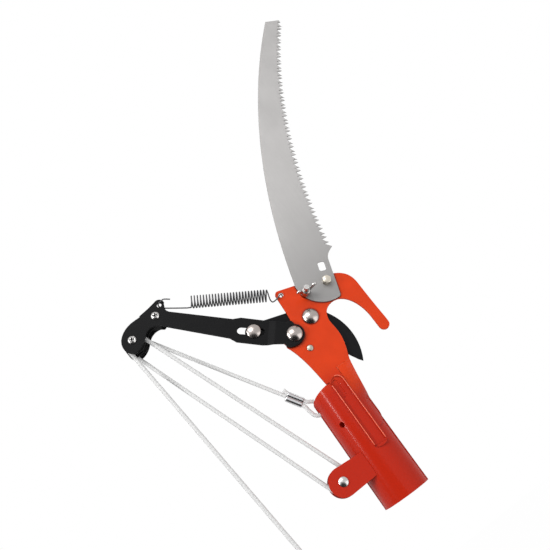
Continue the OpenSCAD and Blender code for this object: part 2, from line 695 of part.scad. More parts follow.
// Rope: each run ends square where a short straight piece of the next wrap starts. Places are [x, y, z].
rope_sides = 8;
eye_at = [-socket_r + socket_wall / 2, 0, 109.5];
eye_r = 6.75;
run_1 = [[-129, rear_sheave_y, 264], [-40.5, 0, 135.5]];
rope_meet_gap = 0.15;
stub = rope_d + rope_meet_gap;
run_2 = [[-127.8, front_sheave_y, 262.4], [-34, body_sheave_y, 45.2]];
run_3 = [[-144, rear_sheave_y, 255.5], [-54, body_sheave_y, 36.8]];
run_4 = [[-144.6, front_sheave_y, 257.8], [-104, front_sheave_y, -12]];
eye_dir = atan2(run_1[1][2] - eye_at[2], run_1[1][0] - eye_at[0]);
ferrule_near = norm(run_1[1] - eye_at) - ferrule_len;
function eye_point(along, across) = let (p = rot2([along, across], eye_dir))
  [eye_at[0] + p[0], eye_at[1], eye_at[2] + p[1]];
function wrap(at, r, y, a0, a1, n) = [for (p = arc(at, r, a0, a1, n)) [p[0], y, p[1]]];

module rope_eye() {
  color(rope_white) tube(concat(
    [eye_point(ferrule_near - press_gap, 2.3), eye_point(ferrule_near - 3, 2.3), eye_point(7.5, 4.4)],
    [for (a = [55:25:305]) eye_point(eye_r * cos(a), eye_r * sin(a))],
    [eye_point(7.5, -4.4), eye_point(ferrule_near - 3, -2.3), eye_point(ferrule_near - press_gap, -2.3)]),
    rope_d, rope_sides, [0, 1, 0]);
}
module rope_ferrule() {
  a = eye_point(ferrule_near, 0);
  color(steel) translate(a) rotate([0, 90 - eye_dir, 0]) linear_extrude(ferrule_len) rotate(90)
    bar_outline([0, -2.3], rope_d / 2 + 0.7, [0, 2.3], rope_d / 2 + 0.699);
}
// A straight run, short of its two ends by the given gaps
function run_dir(ends) = unit(ends[1] - ends[0]);
module run(ends, gap0, gap1, n) {
  d = run_dir(ends);
  color(rope_white) tube(straight(ends[0] + gap0 * d, ends[1] - gap1 * d, n), rope_d, rope_sides, [0, 1, 0]);
}
module rope_anchor_run() { run(run_1, stub, rope_meet_gap, 11); }
module rope_lift_run() { run(run_2, stub, stub, 15); }
module rope_return_run() { run(run_3, stub, stub, 15); }
module rope_tail() { run(run_4, stub, press_gap, 18); }

// A wrap on a sheave, turning from one run's end to the next one's, with a straight piece along each run
module wrap_between(at, r, y, from, from_dir, to, to_dir, n) {
  a0 = angle_to(at, [from[0], from[2]]);
  a1 = angle_to(at, [to[0], to[2]]);
  color(rope_white) tube(concat([from + rope_d * from_dir], wrap(at, r, y, a0, a1 + (a1 < a0 ? 360 : 0), n),
    [to + rope_d * to_dir]), rope_d, rope_sides, [0, 1, 0]);
}
module rope_rear_wrap() {
  wrap_between(axle_at, wrap_r, rear_sheave_y, run_1[0], run_dir(run_1), run_3[0], run_dir(run_3), 8);
}
module rope_front_wrap() {
  wrap_between(axle_at, wrap_r, front_sheave_y, run_2[0], run_dir(run_2), run_4[0], run_dir(run_4), 8);
}
module rope_body_wrap() {
  wrap_between(body_pulley, body_wrap_r, body_sheave_y, run_3[1], -run_dir(run_3),
    run_2[1], -run_dir(run_2), 8);
}

// Stopper knot at the hand end of the rope
module tail_knot() {
  d = run_dir(run_4);
  color(rope_white) translate(run_4[1]) rotate([0, 180 - atan2(d[0], -d[2]), 0]) rotate_extrude()
    polygon([[0, 0], [2.6, 0], [5, 2.5], [5.6, 6], [5, 9.5], [2.6, 12], [2.2, 17], [0, 17]]);
}

head_plate();
neck_shoulder();
pole_socket();
stop_rivet();
main_pivot_bolt();
main_pivot_washer();
main_pivot_nut();
cutting_blade();
slot_pin();
lever();
lever_pivot_bolt();
mid_cheek();
rear_cheek();
block_spacers();
block_screw();
sheave_axle_screw();
block_nuts();
front_sheave();
rear_sheave();
pulley_bracket();
body_sheave();
body_pulley_rivet();
saw_blade();
saw_bolt();
saw_bolt_nut();
wing_stud();
wing_nut();
return_spring();
spring_draw_hook();
rope_eye();
rope_ferrule();
rope_anchor_run();
rope_rear_wrap();
rope_return_run();
rope_body_wrap();
rope_lift_run();
rope_front_wrap();
rope_tail();
tail_knot();
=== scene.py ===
"""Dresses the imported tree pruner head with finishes, rope, spring and fittings, in its CAD model's frame."""

import json
import math

import bmesh
import bpy
from mathutils import Matrix, Vector
from mathutils.geometry import interpolate_bezier


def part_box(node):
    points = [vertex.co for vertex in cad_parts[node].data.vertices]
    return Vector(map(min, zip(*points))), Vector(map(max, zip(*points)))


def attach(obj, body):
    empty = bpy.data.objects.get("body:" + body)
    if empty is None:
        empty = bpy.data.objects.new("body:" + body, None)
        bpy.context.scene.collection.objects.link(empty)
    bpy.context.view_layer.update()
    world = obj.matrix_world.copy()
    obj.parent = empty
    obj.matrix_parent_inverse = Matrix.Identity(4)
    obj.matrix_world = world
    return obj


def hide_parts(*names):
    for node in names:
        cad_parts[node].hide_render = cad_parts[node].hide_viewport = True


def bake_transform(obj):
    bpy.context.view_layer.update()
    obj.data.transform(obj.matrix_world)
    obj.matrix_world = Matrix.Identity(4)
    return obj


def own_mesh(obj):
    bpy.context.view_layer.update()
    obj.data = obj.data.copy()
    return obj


bl_info = {
    "name": "Tree Pruner Head",
    "version": (1, 0, 0),
    "blender": (4, 5, 0),
    "location": "View3D > Sidebar > Pruner",
    "description": "Builds the finishes, rope, spring and fittings of a rope-worked tree pruner head",
    "category": "Object",
}

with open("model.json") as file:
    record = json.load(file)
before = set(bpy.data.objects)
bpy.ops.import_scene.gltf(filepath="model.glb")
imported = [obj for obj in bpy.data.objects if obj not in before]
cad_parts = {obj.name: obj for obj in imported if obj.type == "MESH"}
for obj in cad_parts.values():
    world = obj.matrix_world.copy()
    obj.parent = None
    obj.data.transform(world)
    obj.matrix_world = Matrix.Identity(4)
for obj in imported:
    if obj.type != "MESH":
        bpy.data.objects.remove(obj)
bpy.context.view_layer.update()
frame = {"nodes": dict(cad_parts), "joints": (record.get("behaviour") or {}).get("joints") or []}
MM = 0.001
BACKWARD = Vector((0.0, 1.0, 0.0))
JOINTS = {joint["name"]: joint for joint in frame["joints"]}


def pivot(joint_name):
    """Where a joint's axis stands, in metres."""
    return Vector(JOINTS[joint_name]["pos_m"])


def middle(node):
    """The middle of a CAD node's box, in metres."""
    low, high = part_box(node)
    return (low + high) / 2


def span(node):
    """The three sides of a CAD node's box, in metres."""
    low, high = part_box(node)
    return high - low


# Planes from front to back, taken from the CAD solids
SAW_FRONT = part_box("saw_blade")[0].y
PLATE_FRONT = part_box("saw_blade")[1].y
PLATE_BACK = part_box("head_plate")[1].y
FRONT_GROOVE = middle("front_sheave").y
REAR_GROOVE = middle("rear_sheave").y
BODY_GROOVE = middle("body_sheave").y

# Fixed points of the mechanism
LEVER_PIVOT = pivot("lever_pivot")
BLOCK_AXLE = pivot("front_sheave_spin")
BODY_AXLE = pivot("body_sheave_spin")
EYE_CENTRE = pivot("rope_eye_swing")

# How far the lever and the rope's eye turn until the blade is closed
LEVER_SWING = math.radians(JOINTS["lever_pivot"]["range_deg"][1])
EYE_SWING = math.radians(62.1)


def settings(group):
    """One of this file's groups of settings, on the scene."""
    return getattr(bpy.context.scene, group)


def length_setting(name, description, default):
    return bpy.props.FloatProperty(
        name=name, description=description, default=default, unit="LENGTH", precision=5
    )


def angle_setting(name, description, degrees):
    return bpy.props.FloatProperty(
        name=name, description=description, default=math.radians(degrees), unit="ROTATION"
    )


def power_setting(name, default):
    return bpy.props.FloatProperty(
        name=name, description="Power in watts", default=default, unit="POWER", min=0.0
    )


def colour_setting(name, description, default):
    return bpy.props.FloatVectorProperty(
        name=name, description=description, default=default, subtype="COLOR", size=3, min=0.0, max=1.0
    )


def share_setting(name, description, default):
    return bpy.props.FloatProperty(
        name=name, description=description, default=default, subtype="FACTOR", min=0.0, max=1.0
    )


class PrunerStageSettings(bpy.types.PropertyGroup):
    """Camera, lamps and floor."""

    lens: bpy.props.FloatProperty(
        name="Lens",
        description="Focal length on a 36 mm sensor, in millimetres",
        default=41.89,
        unit="CAMERA",
        min=10.0,
    )
    distance: length_setting("Distance", "From the camera to the point it looks at", 0.640)
    tilt: angle_setting("Tilt", "How far the camera looks along the plate", 22.5)
    roll: angle_setting("Roll", "Turn of the head in the picture", 34.0)
    look_at: bpy.props.FloatVectorProperty(
        name="Look at",
        description="Point in the middle of the picture",
        default=(0.01561, PLATE_FRONT, 0.23844),
        subtype="TRANSLATION",
    )
    floor_drop: length_setting("Floor drop", "Height of the floor below the socket's mouth", 1.0)
    ambient: share_setting("Ambient", "Strength of the even light", 0.36)
    key_power: power_setting("Key lamp", 14.0)
    fill_power: power_setting("Fill lamp", 6.0)
    strip_power: power_setting("Strip lamp", 11.0)
    card_drop: angle_setting("Card drop", "Angle of the front card below the camera", 36.0)


class PrunerPaintSettings(bpy.types.PropertyGroup):
    """Colours of the painted and plated metal."""

    plate: colour_setting("Plate paint", "Orange-red paint of the plate", (0.63, 0.045, 0.007))
    # The socket's deeper red is partly the paint's own colour and partly painted shade of the lower neck and
    # socket
    socket: colour_setting("Socket paint", "Deeper red of the rolled neck and socket", (0.45, 0.018, 0.005))
    # The crests' lighter paint is a painted highlight along the channel's beads
    crest_highlight: colour_setting("Crest highlight", "Paint worn thin on the channel's beads", (0.80, 0.15, 0.085))
    lever: colour_setting("Lever paint", "Black paint of lever and block", (0.009, 0.009, 0.0095))
    blade: colour_setting("Blade coating", "Black coating of the cutting blade", (0.009, 0.009, 0.010))
    ground_edge: colour_setting("Ground edge", "Bare steel of the blade's bevel", (0.20, 0.20, 0.21))
    saw: colour_setting("Saw steel", "Satin steel of the saw", (0.390, 0.381, 0.376))
    nickel: colour_setting("Nickel", "Plating of nuts, screws and wing nut", (0.50, 0.49, 0.48))
    # The domed heads' warm tone is partly their plating and partly a painted reflection of the orange-red
    # around them
    dome_plating_and_reflection: colour_setting("Dome nickel", "Warmer plating of the domed heads", (0.39, 0.35, 0.33))
    zinc: colour_setting("Zinc", "Yellow plating of the saw bolt", (0.60, 0.55, 0.47))
    moulded: colour_setting("Moulded black", "Plastic of sheaves and spacers", (0.009, 0.009, 0.0095))


class PrunerRopeSettings(bpy.types.PropertyGroup):
    """The pull rope and its ferrule."""

    diameter: length_setting("Diameter", "Thickness of the rope", 0.004)
    plait: length_setting("Plait", "Length of one turn of a strand", 0.007)
    relief: share_setting("Relief", "Height of the strands, as a share of the radius", 0.035)
    colour: colour_setting("Colour", "White of the fibres", (0.705, 0.705, 0.70))
    shade: colour_setting("Shade", "Grey between the strands", (0.58, 0.58, 0.58))
    ferrule: colour_setting("Ferrule", "Bright metal of the crimped ferrule", (0.60, 0.60, 0.61))


class PrunerSpringSettings(bpy.types.PropertyGroup):
    """The return spring."""

    wire: length_setting("Wire", "Thickness of the wire", 0.0013)
    coil_diameter: length_setting("Coil", "Outer diameter of the coil", 0.013)
    coil_length: length_setting("Length", "Length of the coil", 0.0774)
    lift: length_setting("Lift", "Height of the coil above the line between its hooks", 0.00085)
    curls: bpy.props.IntProperty(name="Curls", description="Number of curls", default=26, min=3)
    colour: colour_setting("Colour", "Oiled steel wire", (0.075, 0.075, 0.078))


# Mesh helpers

HOLE_STEP = 0.7 * MM


def object_from(name, mesh, material):
    """Puts a finished mesh into the scene with its finish."""
    piece = bpy.data.objects.new(name, mesh)
    bpy.context.scene.collection.objects.link(piece)
    mesh.materials.append(material)
    return piece


def mesh_from(name, shape, smooth=True):
    """Turns a bmesh into a mesh with outward faces."""
    bmesh.ops.recalc_face_normals(shape, faces=shape.faces)
    mesh = bpy.data.meshes.new(name)
    shape.to_mesh(mesh)
    shape.free()
    for face in mesh.polygons:
        face.use_smooth = smooth
    return mesh


def join_rings(shape, rings):
    """Closes the wall between each ring of vertices and the next one."""
    for low, high in zip(rings, rings[1:]):
        for j in range(len(low)):
            k = (j + 1) % len(low)
            shape.faces.new((low[j], low[k], high[k], high[j]))


def sweep(name, path, radius, sides, relief=None):
    """A closed round tube along a path, length and turn kept as UV; relief(angle, run) scales its radius."""
    shape = bmesh.new()
    uv = shape.loops.layers.uv.new("UVMap")
    tangents = [
        (path[min(i + 1, len(path) - 1)] - path[max(i - 1, 0)]).normalized() for i in range(len(path))
    ]
    side = tangents[0].orthogonal().normalized()
    rings, runs, run = [], [], 0.0
    for i, point in enumerate(path):
        if i:
            run += (point - path[i - 1]).length
        side = (side - side.dot(tangents[i]) * tangents[i]).normalized()
        across = tangents[i].cross(side)
        ring = []
        for j in range(sides):
            turn = 2 * math.pi * j / sides
            reach = radius * (relief(turn, run) if relief else 1.0)
            ring.append(shape.verts.new(point + reach * (math.cos(turn) * side + math.sin(turn) * across)))
        rings.append(ring)
        runs.append(run)
    for i in range(len(path) - 1):
        for j in range(sides):
            k = (j + 1) % sides
            face = shape.faces.new((rings[i][j], rings[i][k], rings[i + 1][k], rings[i + 1][j]))
            corners = ((j, i), (j + 1, i), (j + 1, i + 1), (j, i + 1))
            for loop, (turn, step) in zip(face.loops, corners):
                loop[uv].uv = (turn / sides, runs[step])
    shape.faces.new(list(reversed(rings[0])))
    shape.faces.new(rings[-1])
    return mesh_from(name, shape)


def smooth_path(points, step):
    """A smooth curve through points, with a new point about every step."""
    path = []
    for i in range(len(points) - 1):
        before = points[max(i - 1, 0)]
        start, end = points[i], points[i + 1]
        after = points[min(i + 2, len(points) - 1)]
        count = max(1, round((end - start).length / step))
        for k in range(count):
            t = k / count
            path.append(
                0.5
                * (
                    2 * start
                    + (end - before) * t
                    + (2 * before - 5 * start + 4 * end - after) * t * t
                    + (3 * start - before - 3 * end + after) * t * t * t
                )
            )
    path.append(points[-1])
    return path


def straight_path(start, end, step):
    count = max(2, round((end - start).length / step))
    return [start.lerp(end, i / count) for i in range(count + 1)]


def on_circle(centre, radius, angle, y):
    """A point on a circle in the head's plane, at an angle from +X towards +Z, in radians."""
    return Vector((centre.x + radius * math.cos(angle), y, centre.z + radius * math.sin(angle)))


def angle_of(point, centre):
    return math.atan2(point.z - centre.z, point.x - centre.x)


def arc_path(centre, radius, start, end, y, step):
    """An arc in the head's plane, from one angle to another, in radians."""
    count = max(4, round(abs(end - start) * radius / step))
    return [on_circle(centre, radius, start + (end - start) * i / count, y) for i in range(count + 1)]


def round_hole(centre, radius):
    """The outline of a hole through a sheet."""
    return arc_path(centre, radius, 0.0, 2 * math.pi, 0.0, HOLE_STEP)[:-1]


def curve_from(corners, count):
    """Points on a curve from its start, two handles and end, as (x, z) in millimetres."""
    return interpolate_bezier(*[Vector((x, 0.0, z)) * MM for x, z in corners], count)


def at_depth(outlines, y):
    """Outlines in the head's plane, moved to one depth."""
    return [[Vector((point.x, y, point.z)) for point in outline] for outline in outlines]


def cut_sheet(name, fronts, backs):
    """A sheet between outlines on its two sides: the rim comes first, and then the holes."""
    shape = bmesh.new()
    rims = ([], [])
    for front, back in zip(fronts, backs):
        near, far = [[shape.verts.new(point) for point in loop] for loop in (front, back)]
        for j in range(len(near)):
            k = (j + 1) % len(near)
            shape.faces.new((near[j], near[k], far[k]))
            shape.faces.new((near[j], far[k], far[j]))
            for rim, loop in zip(rims, (near, far)):
                rim.append(shape.edges.get((loop[j], loop[k])))
    for rim in rims:
        bmesh.ops.triangle_fill(shape, use_beauty=True, edges=rim)
    return mesh_from(name, shape, False)


def lathe(name, profile, centre, sides=64):
    """A round piece about Y from (radius, y) points."""
    shape = bmesh.new()
    rings = []
    for radius, y in profile:
        count = sides if radius else 1
        angles = [2 * math.pi * j / sides for j in range(count)]
        rings.append([shape.verts.new(on_circle(centre, radius, angle, y)) for angle in angles])
    for low, high in zip(rings, rings[1:]):
        for j in range(sides):
            k = (j + 1) % sides
            corners = []
            for vert in (low[j % len(low)], low[k % len(low)], high[k % len(high)], high[j % len(high)]):
                if vert not in corners:
                    corners.append(vert)
            if len(corners) > 2:
                shape.faces.new(corners)
    return mesh_from(name, shape)


def turning(angle):
    """A turn about -Y, the way that the joints turn."""
    return Matrix.Rotation(angle, 3, -BACKWARD)


def turn_about(point, centre, angle):
    """Turns a point about a joint's axis."""
    return centre + turning(angle) @ (point - centre)


# Finishes

WHITE = (1.0, 1.0, 1.0, 1.0)
# Cosines between the rounded and the flat normal where an edge starts to turn to its edge colour, and where it
# turns most; that colour is wear, and on black paint and plastic also painted highlight
EDGE_COSINES = (0.995, 0.86)
# The blade's ground bevel leans from the back: cosines where its coating ends and where it is bare
BEVEL_COSINES = (0.97, 0.93)
# Faces with less than this cosine to the back are the blade's walls and front, which stay coated
COATED_COSINE = 0.3
# Painted shade in the plate's seams: how near another face must be, and the heights between which it fades out
SEAM_REACH = 2.2 * MM
SEAM_FADE = (0.165, 0.150)
# Share of plain white in what the camera sees of the floor; the rest keeps the shadow
FLOOR_GLOW = 0.99


def new_finish(name):
    """An empty material with a Principled shader; returns the material, its node tree and the shader."""
    material = bpy.data.materials.new(name)
    material.use_nodes = True
    return material, material.node_tree, material.node_tree.nodes["Principled BSDF"]


def own_place(tree):
    """Coordinates that stay with the piece."""
    return tree.nodes.new("ShaderNodeTexCoord").outputs["Object"]


def noise(tree, coordinates, scale, detail=3.0):
    texture = tree.nodes.new("ShaderNodeTexNoise")
    texture.inputs["Scale"].default_value = scale
    texture.inputs["Detail"].default_value = detail
    tree.links.new(coordinates, texture.inputs["Vector"])
    return texture.outputs["Fac"]


def ramp(tree, source, low, high):
    """A colour ramp between two stops, each a position and a colour."""
    node = tree.nodes.new("ShaderNodeValToRGB")
    for element, (position, colour) in zip(node.color_ramp.elements, (low, high)):
        element.position = position
        element.color = (*colour, 1.0)
    tree.links.new(source, node.inputs["Fac"])
    return node.outputs["Color"]


def grey(value):
    return (value, value, value)


def shaded(colour, factor):
    """A colour made darker or lighter."""
    return tuple(min(1.0, channel * factor) for channel in colour)


def mixed(tree, factor, first, second):
    """Mixes two colours, each a socket or a plain colour."""
    node = tree.nodes.new("ShaderNodeMix")
    node.data_type = "RGBA"
    tree.links.new(factor, node.inputs["Factor"])
    for socket, value in ((node.inputs[6], first), (node.inputs[7], second)):
        if isinstance(value, bpy.types.NodeSocket):
            tree.links.new(value, socket)
        else:
            socket.default_value = (*value, 1.0)
    return node.outputs[2]


def calculated(tree, operation, *values):
    """The result of one step of arithmetic on values, each a socket or a plain number."""
    node = tree.nodes.new("ShaderNodeMath")
    node.operation = operation
    for socket, value in zip(node.inputs, values):
        if isinstance(value, bpy.types.NodeSocket):
            tree.links.new(value, socket)
        else:
            socket.default_value = value
    return node.outputs["Value"]


def eased(tree, source, start, end, most=1.0, curve="LINEAR"):
    """0 up to the start, the most from the end on, and a change between them."""
    node = tree.nodes.new("ShaderNodeMapRange")
    node.interpolation_type = curve
    node.inputs["From Min"].default_value = start
    node.inputs["From Max"].default_value = end
    node.inputs["To Max"].default_value = most
    tree.links.new(source, node.inputs["Value"])
    return node.outputs["Result"]


def rounded_normal(tree, radius):
    node = tree.nodes.new("ShaderNodeBevel")
    node.samples = 6
    node.inputs["Radius"].default_value = radius
    return node.outputs["Normal"]


def bumped(tree, height, normal, distance, strength):
    node = tree.nodes.new("ShaderNodeBump")
    node.inputs["Strength"].default_value = strength
    node.inputs["Distance"].default_value = distance
    tree.links.new(height, node.inputs["Height"])
    if normal is not None:
        tree.links.new(normal, node.inputs["Normal"])
    return node.outputs["Normal"]


def edge_wear_and_highlight(tree, rounded, patches, wear_and_highlight):
    """A mask of the edges: where the rounded normal leaves the flat one, broken up by patches."""
    product = tree.nodes.new("ShaderNodeVectorMath")
    product.operation = "DOT_PRODUCT"
    tree.links.new(rounded, product.inputs[0])
    tree.links.new(tree.nodes.new("ShaderNodeNewGeometry").outputs["Normal"], product.inputs[1])
    edge = eased(tree, product.outputs["Value"], *EDGE_COSINES, most=wear_and_highlight)
    return calculated(tree, "MULTIPLY", edge, patches)


def height_share(tree, coordinates, top, foot):
    """0 above one height and 1 below another, with a smooth change between them."""
    place = tree.nodes.new("ShaderNodeSeparateXYZ")
    tree.links.new(coordinates, place.inputs["Vector"])
    return eased(tree, place.outputs["Z"], top, foot, curve="SMOOTHSTEP")


def sheet_metal(
    name, colour, *, roughness, edge, wear_and_highlight, grain, metallic=0.0, bevel=0.4 * MM, gloss=0.5, tooth=0.35
):
    """Painted or plated metal: cloudy tone, fine grain, rounded edges that turn to another colour, as wear
    and, on black paint and plastic, also as painted highlight.
    """
    material, tree, shader = new_finish(name)
    place = own_place(tree)
    clouds = noise(tree, place, scale=55.0)
    fine = noise(tree, place, scale=grain, detail=5.0)
    rounded = rounded_normal(tree, bevel)
    tone = ramp(tree, clouds, (0.30, shaded(colour, 0.93)), (0.70, shaded(colour, 1.06)))
    patches = ramp(tree, noise(tree, place, scale=420.0), (0.35, grey(0.25)), (0.65, grey(1.0)))
    # Edge mask: wear, and on black paint and plastic also painted highlight
    worn = edge_wear_and_highlight(tree, rounded, patches, wear_and_highlight)
    tree.links.new(mixed(tree, worn, tone, edge), shader.inputs["Base Color"])
    polish = ramp(tree, fine, (0.25, grey(roughness * 0.82)), (0.75, grey(roughness * 1.18)))
    tree.links.new(polish, shader.inputs["Roughness"])
    grained = bumped(tree, fine, rounded, distance=0.03 * MM, strength=tooth)
    tree.links.new(grained, shader.inputs["Normal"])
    shader.inputs["Metallic"].default_value = metallic
    shader.inputs["Specular IOR Level"].default_value = gloss
    return material


def enamel(name, upper, lower, fade):
    """Glossy paint over steel, which deepens between two heights, partly its own deeper colour and partly
    painted shade, and darkens with painted shade in its seams.
    """
    material = sheet_metal(
        name, upper, roughness=0.20, edge=(0.92, 0.30, 0.14), wear_and_highlight=0.55, grain=1100.0, gloss=0.17, tooth=0.05
    )
    tree = material.node_tree
    place = tree.nodes["Texture Coordinate"].outputs["Object"]
    base = tree.nodes["Principled BSDF"].inputs["Base Color"]
    # Partly painted shade: between the heights the colour turns to the lower, deeper one
    paint = mixed(tree, height_share(tree, place, *fade), base.links[0].from_socket, lower)
    # Painted shade: the paint darkens where another face lies near, as along the saw's foot
    corner = tree.nodes.new("ShaderNodeAmbientOcclusion")
    corner.samples = 8
    corner.inputs["Distance"].default_value = SEAM_REACH
    seam = ramp(tree, corner.outputs["AO"], (0.58, grey(1.0)), (0.95, grey(0.0)))
    seam_shade_mask = mixed(tree, height_share(tree, place, *SEAM_FADE), seam, grey(0.0))
    tree.links.new(mixed(tree, seam_shade_mask, paint, shaded(upper, 0.14)), base)
    return material


def black_satin(paint):
    """Satin black paint of the lever and the block's cheeks, with lighter edges that are partly wear and
    partly painted highlight.
    """
    return sheet_metal(
        "black_satin", paint.lever, roughness=0.42, edge=grey(0.10), wear_and_highlight=0.6, grain=1300.0, gloss=0.05
    )


def ground_steel(name, colour, lines_along, fade, heel):
    """Satin saw steel with fine grinding lines along one direction, darker at its heel as painted shade."""
    material, tree, shader = new_finish(name)
    place = own_place(tree)
    mapping = tree.nodes.new("ShaderNodeMapping")
    mapping.inputs["Rotation"].default_value = (0.0, lines_along, 0.0)
    mapping.inputs["Scale"].default_value = (1500.0, 200.0, 45.0)
    tree.links.new(place, mapping.inputs["Vector"])
    lines = noise(tree, mapping.outputs["Vector"], scale=1.0, detail=4.0)
    clouds = noise(tree, place, scale=28.0)
    tone = ramp(tree, clouds, (0.3, shaded(colour, 0.94)), (0.7, shaded(colour, 1.05)))
    # Painted shade: both the tone and the lighter streaks darken towards the heel
    depth = height_share(tree, place, *fade)
    tone = mixed(tree, depth, tone, shaded(colour, heel))
    gleam = mixed(tree, depth, shaded(colour, 1.22), shaded(colour, 1.22 * heel))
    streak = ramp(tree, lines, (0.3, grey(0.0)), (0.7, grey(0.30)))
    tree.links.new(mixed(tree, streak, tone, gleam), shader.inputs["Base Color"])
    polish = ramp(tree, lines, (0.25, grey(0.40)), (0.75, grey(0.56)))
    tree.links.new(polish, shader.inputs["Roughness"])
    rounded = rounded_normal(tree, 0.15 * MM)
    lined = bumped(tree, lines, rounded, distance=0.02 * MM, strength=0.30)
    tree.links.new(lined, shader.inputs["Normal"])
    shader.inputs["Metallic"].default_value = 0.55
    return material


def coated_blade(name, colour, ground):
    """Black coating, with bare steel where the cutting edge is ground on its back."""
    material, tree, shader = new_finish(name)
    place = own_place(tree)
    facing = tree.nodes.new("ShaderNodeSeparateXYZ")
    geometry = tree.nodes.new("ShaderNodeNewGeometry")
    tree.links.new(geometry.outputs["True Normal"], facing.inputs["Vector"])
    slope = eased(tree, facing.outputs["Y"], *BEVEL_COSINES)
    behind = calculated(tree, "GREATER_THAN", facing.outputs["Y"], COATED_COSINE)
    bare = calculated(tree, "MULTIPLY", slope, behind)
    fine = noise(tree, place, scale=900.0, detail=5.0)
    clouds = noise(tree, place, scale=60.0)
    tone = ramp(tree, clouds, (0.3, shaded(colour, 0.85)), (0.7, shaded(colour, 1.25)))
    tree.links.new(mixed(tree, bare, tone, ground), shader.inputs["Base Color"])
    polish = ramp(tree, fine, (0.25, grey(0.30)), (0.75, grey(0.44)))
    tree.links.new(polish, shader.inputs["Roughness"])
    rounded = rounded_normal(tree, 0.3 * MM)
    grained = bumped(tree, fine, rounded, distance=0.02 * MM, strength=0.3)
    tree.links.new(grained, shader.inputs["Normal"])
    shader.inputs["Specular IOR Level"].default_value = 0.06
    return material


def braided_fibre(name, rope):
    """White braid: two families of strands that cross along the rope's own length."""
    material, tree, shader = new_finish(name)
    parts = tree.nodes.new("ShaderNodeSeparateXYZ")
    tree.links.new(tree.nodes.new("ShaderNodeUVMap").outputs["UV"], parts.inputs["Vector"])
    waves = []
    for hand in (1.0, -1.0):
        run = calculated(tree, "MULTIPLY", parts.outputs["Y"], hand * 2 * math.pi / rope.plait)
        turn = calculated(tree, "MULTIPLY_ADD", parts.outputs["X"], ROPE_STRANDS * 2 * math.pi, run)
        waves.append(calculated(tree, "SINE", turn))
    weave = eased(tree, calculated(tree, "MULTIPLY", *waves), -1.0, 1.0)
    tone = ramp(tree, weave, (0.05, rope.shade), (0.45, rope.colour))
    fibres = noise(tree, own_place(tree), scale=2600.0, detail=4.0)
    dust = ramp(tree, fibres, (0.3, grey(0.0)), (0.75, grey(0.22)))
    tree.links.new(mixed(tree, dust, tone, rope.shade), shader.inputs["Base Color"])
    plaited = bumped(tree, weave, None, distance=0.10 * MM, strength=0.4)
    tree.links.new(plaited, shader.inputs["Normal"])
    shader.inputs["Roughness"].default_value = 0.82
    shader.inputs["Sheen Weight"].default_value = 0.25
    return material


def seen_directly(tree):
    """1 for camera, glossy and transmission rays."""
    rays = tree.nodes.new("ShaderNodeLightPath").outputs
    seen = calculated(tree, "MAXIMUM", rays["Is Camera Ray"], rays["Is Glossy Ray"])
    return calculated(tree, "MAXIMUM", seen, rays["Is Transmission Ray"])


def studio_white(name):
    """Pale floor that the camera and reflections see as white, with a little of the shadow kept."""
    material, tree, shader = new_finish(name)
    shader.inputs["Base Color"].default_value = (*grey(0.93), 1.0)
    shader.inputs["Roughness"].default_value = 0.9
    glow = tree.nodes.new("ShaderNodeEmission")
    glow.inputs["Color"].default_value = WHITE
    blend = tree.nodes.new("ShaderNodeMixShader")
    share = calculated(tree, "MULTIPLY", seen_directly(tree), FLOOR_GLOW)
    tree.links.new(share, blend.inputs["Fac"])
    tree.links.new(shader.outputs["BSDF"], blend.inputs[1])
    tree.links.new(glow.outputs["Emission"], blend.inputs[2])
    tree.links.new(blend.outputs["Shader"], tree.nodes["Material Output"].inputs["Surface"])
    return material


def card_black(name):
    """Dull black of the cards."""
    material, _, shader = new_finish(name)
    shader.inputs["Base Color"].default_value = (*grey(0.01), 1.0)
    shader.inputs["Roughness"].default_value = 1.0
    return material


def paint_nodes(material, *names):
    """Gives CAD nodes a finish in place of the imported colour."""
    for name in names:
        slots = frame["nodes"][name].data.materials
        slots.clear()
        slots.append(material)


# Rope


def on_route(x, depth, z):
    """A point on the rope's route: x and z in millimetres, and the depth of its groove in metres."""
    return Vector((x, depth / MM, z)) * MM


# Route, repeated from the part's source: each run starts at the pulley block
EYE_RADIUS = 6.75 * MM
EYE_AT = on_route(-22.75, 0.0, 109.5)
ANCHOR_RUN = (on_route(-129.0, REAR_GROOVE, 264.0), on_route(-40.5, 0.0, 135.5))
LIFT_RUN = (on_route(-127.8, FRONT_GROOVE, 262.4), on_route(-34.0, BODY_GROOVE, 45.2))
RETURN_RUN = (on_route(-144.0, REAR_GROOVE, 255.5), on_route(-54.0, BODY_GROOVE, 36.8))
TAIL_RUN = (on_route(-144.6, FRONT_GROOVE, 257.8), on_route(-104.0, FRONT_GROOVE, -12.0))
FERRULE_LENGTH = 17 * MM
# Radius of the rope's middle in the grooves of the block's and the body's sheaves
BLOCK_WRAP = span("front_sheave").x / 2 - 2 * MM
BODY_WRAP = span("body_sheave").x / 2 - 2.2 * MM
# How far the wrap on the body pulley goes on past the lift run, in radians
BODY_WRAP_OVER = 0.64
# The braid's strands of each hand, and how finely the rope is drawn
ROPE_STRANDS = 4
ROPE_SIDES = 16
ROPE_STEP = 1 * MM
WRAP_STEP = 0.6 * MM
# Angles of the points round the eye, in degrees from the direction of the ferrule
EYE_ANGLES = range(55, 306, 25)
# The rope's cut end beside the ferrule, as (past the ferrule's tip, across) in millimetres
CUT_END = ((-3.0, -2.2), (5.0, -4.6))
# Stopper knot: curls round the rope's end, slimmer towards both ends of the knot, on a straight core
KNOT_CURLS = 3
KNOT_POINTS = 96
KNOT_RADIUS = 3.5 * MM
KNOT_SLIMMEST = 0.80
KNOT_START = 1.4 * MM
KNOT_LENGTH = 12 * MM
KNOT_CORE = (-1 * MM, 17 * MM)


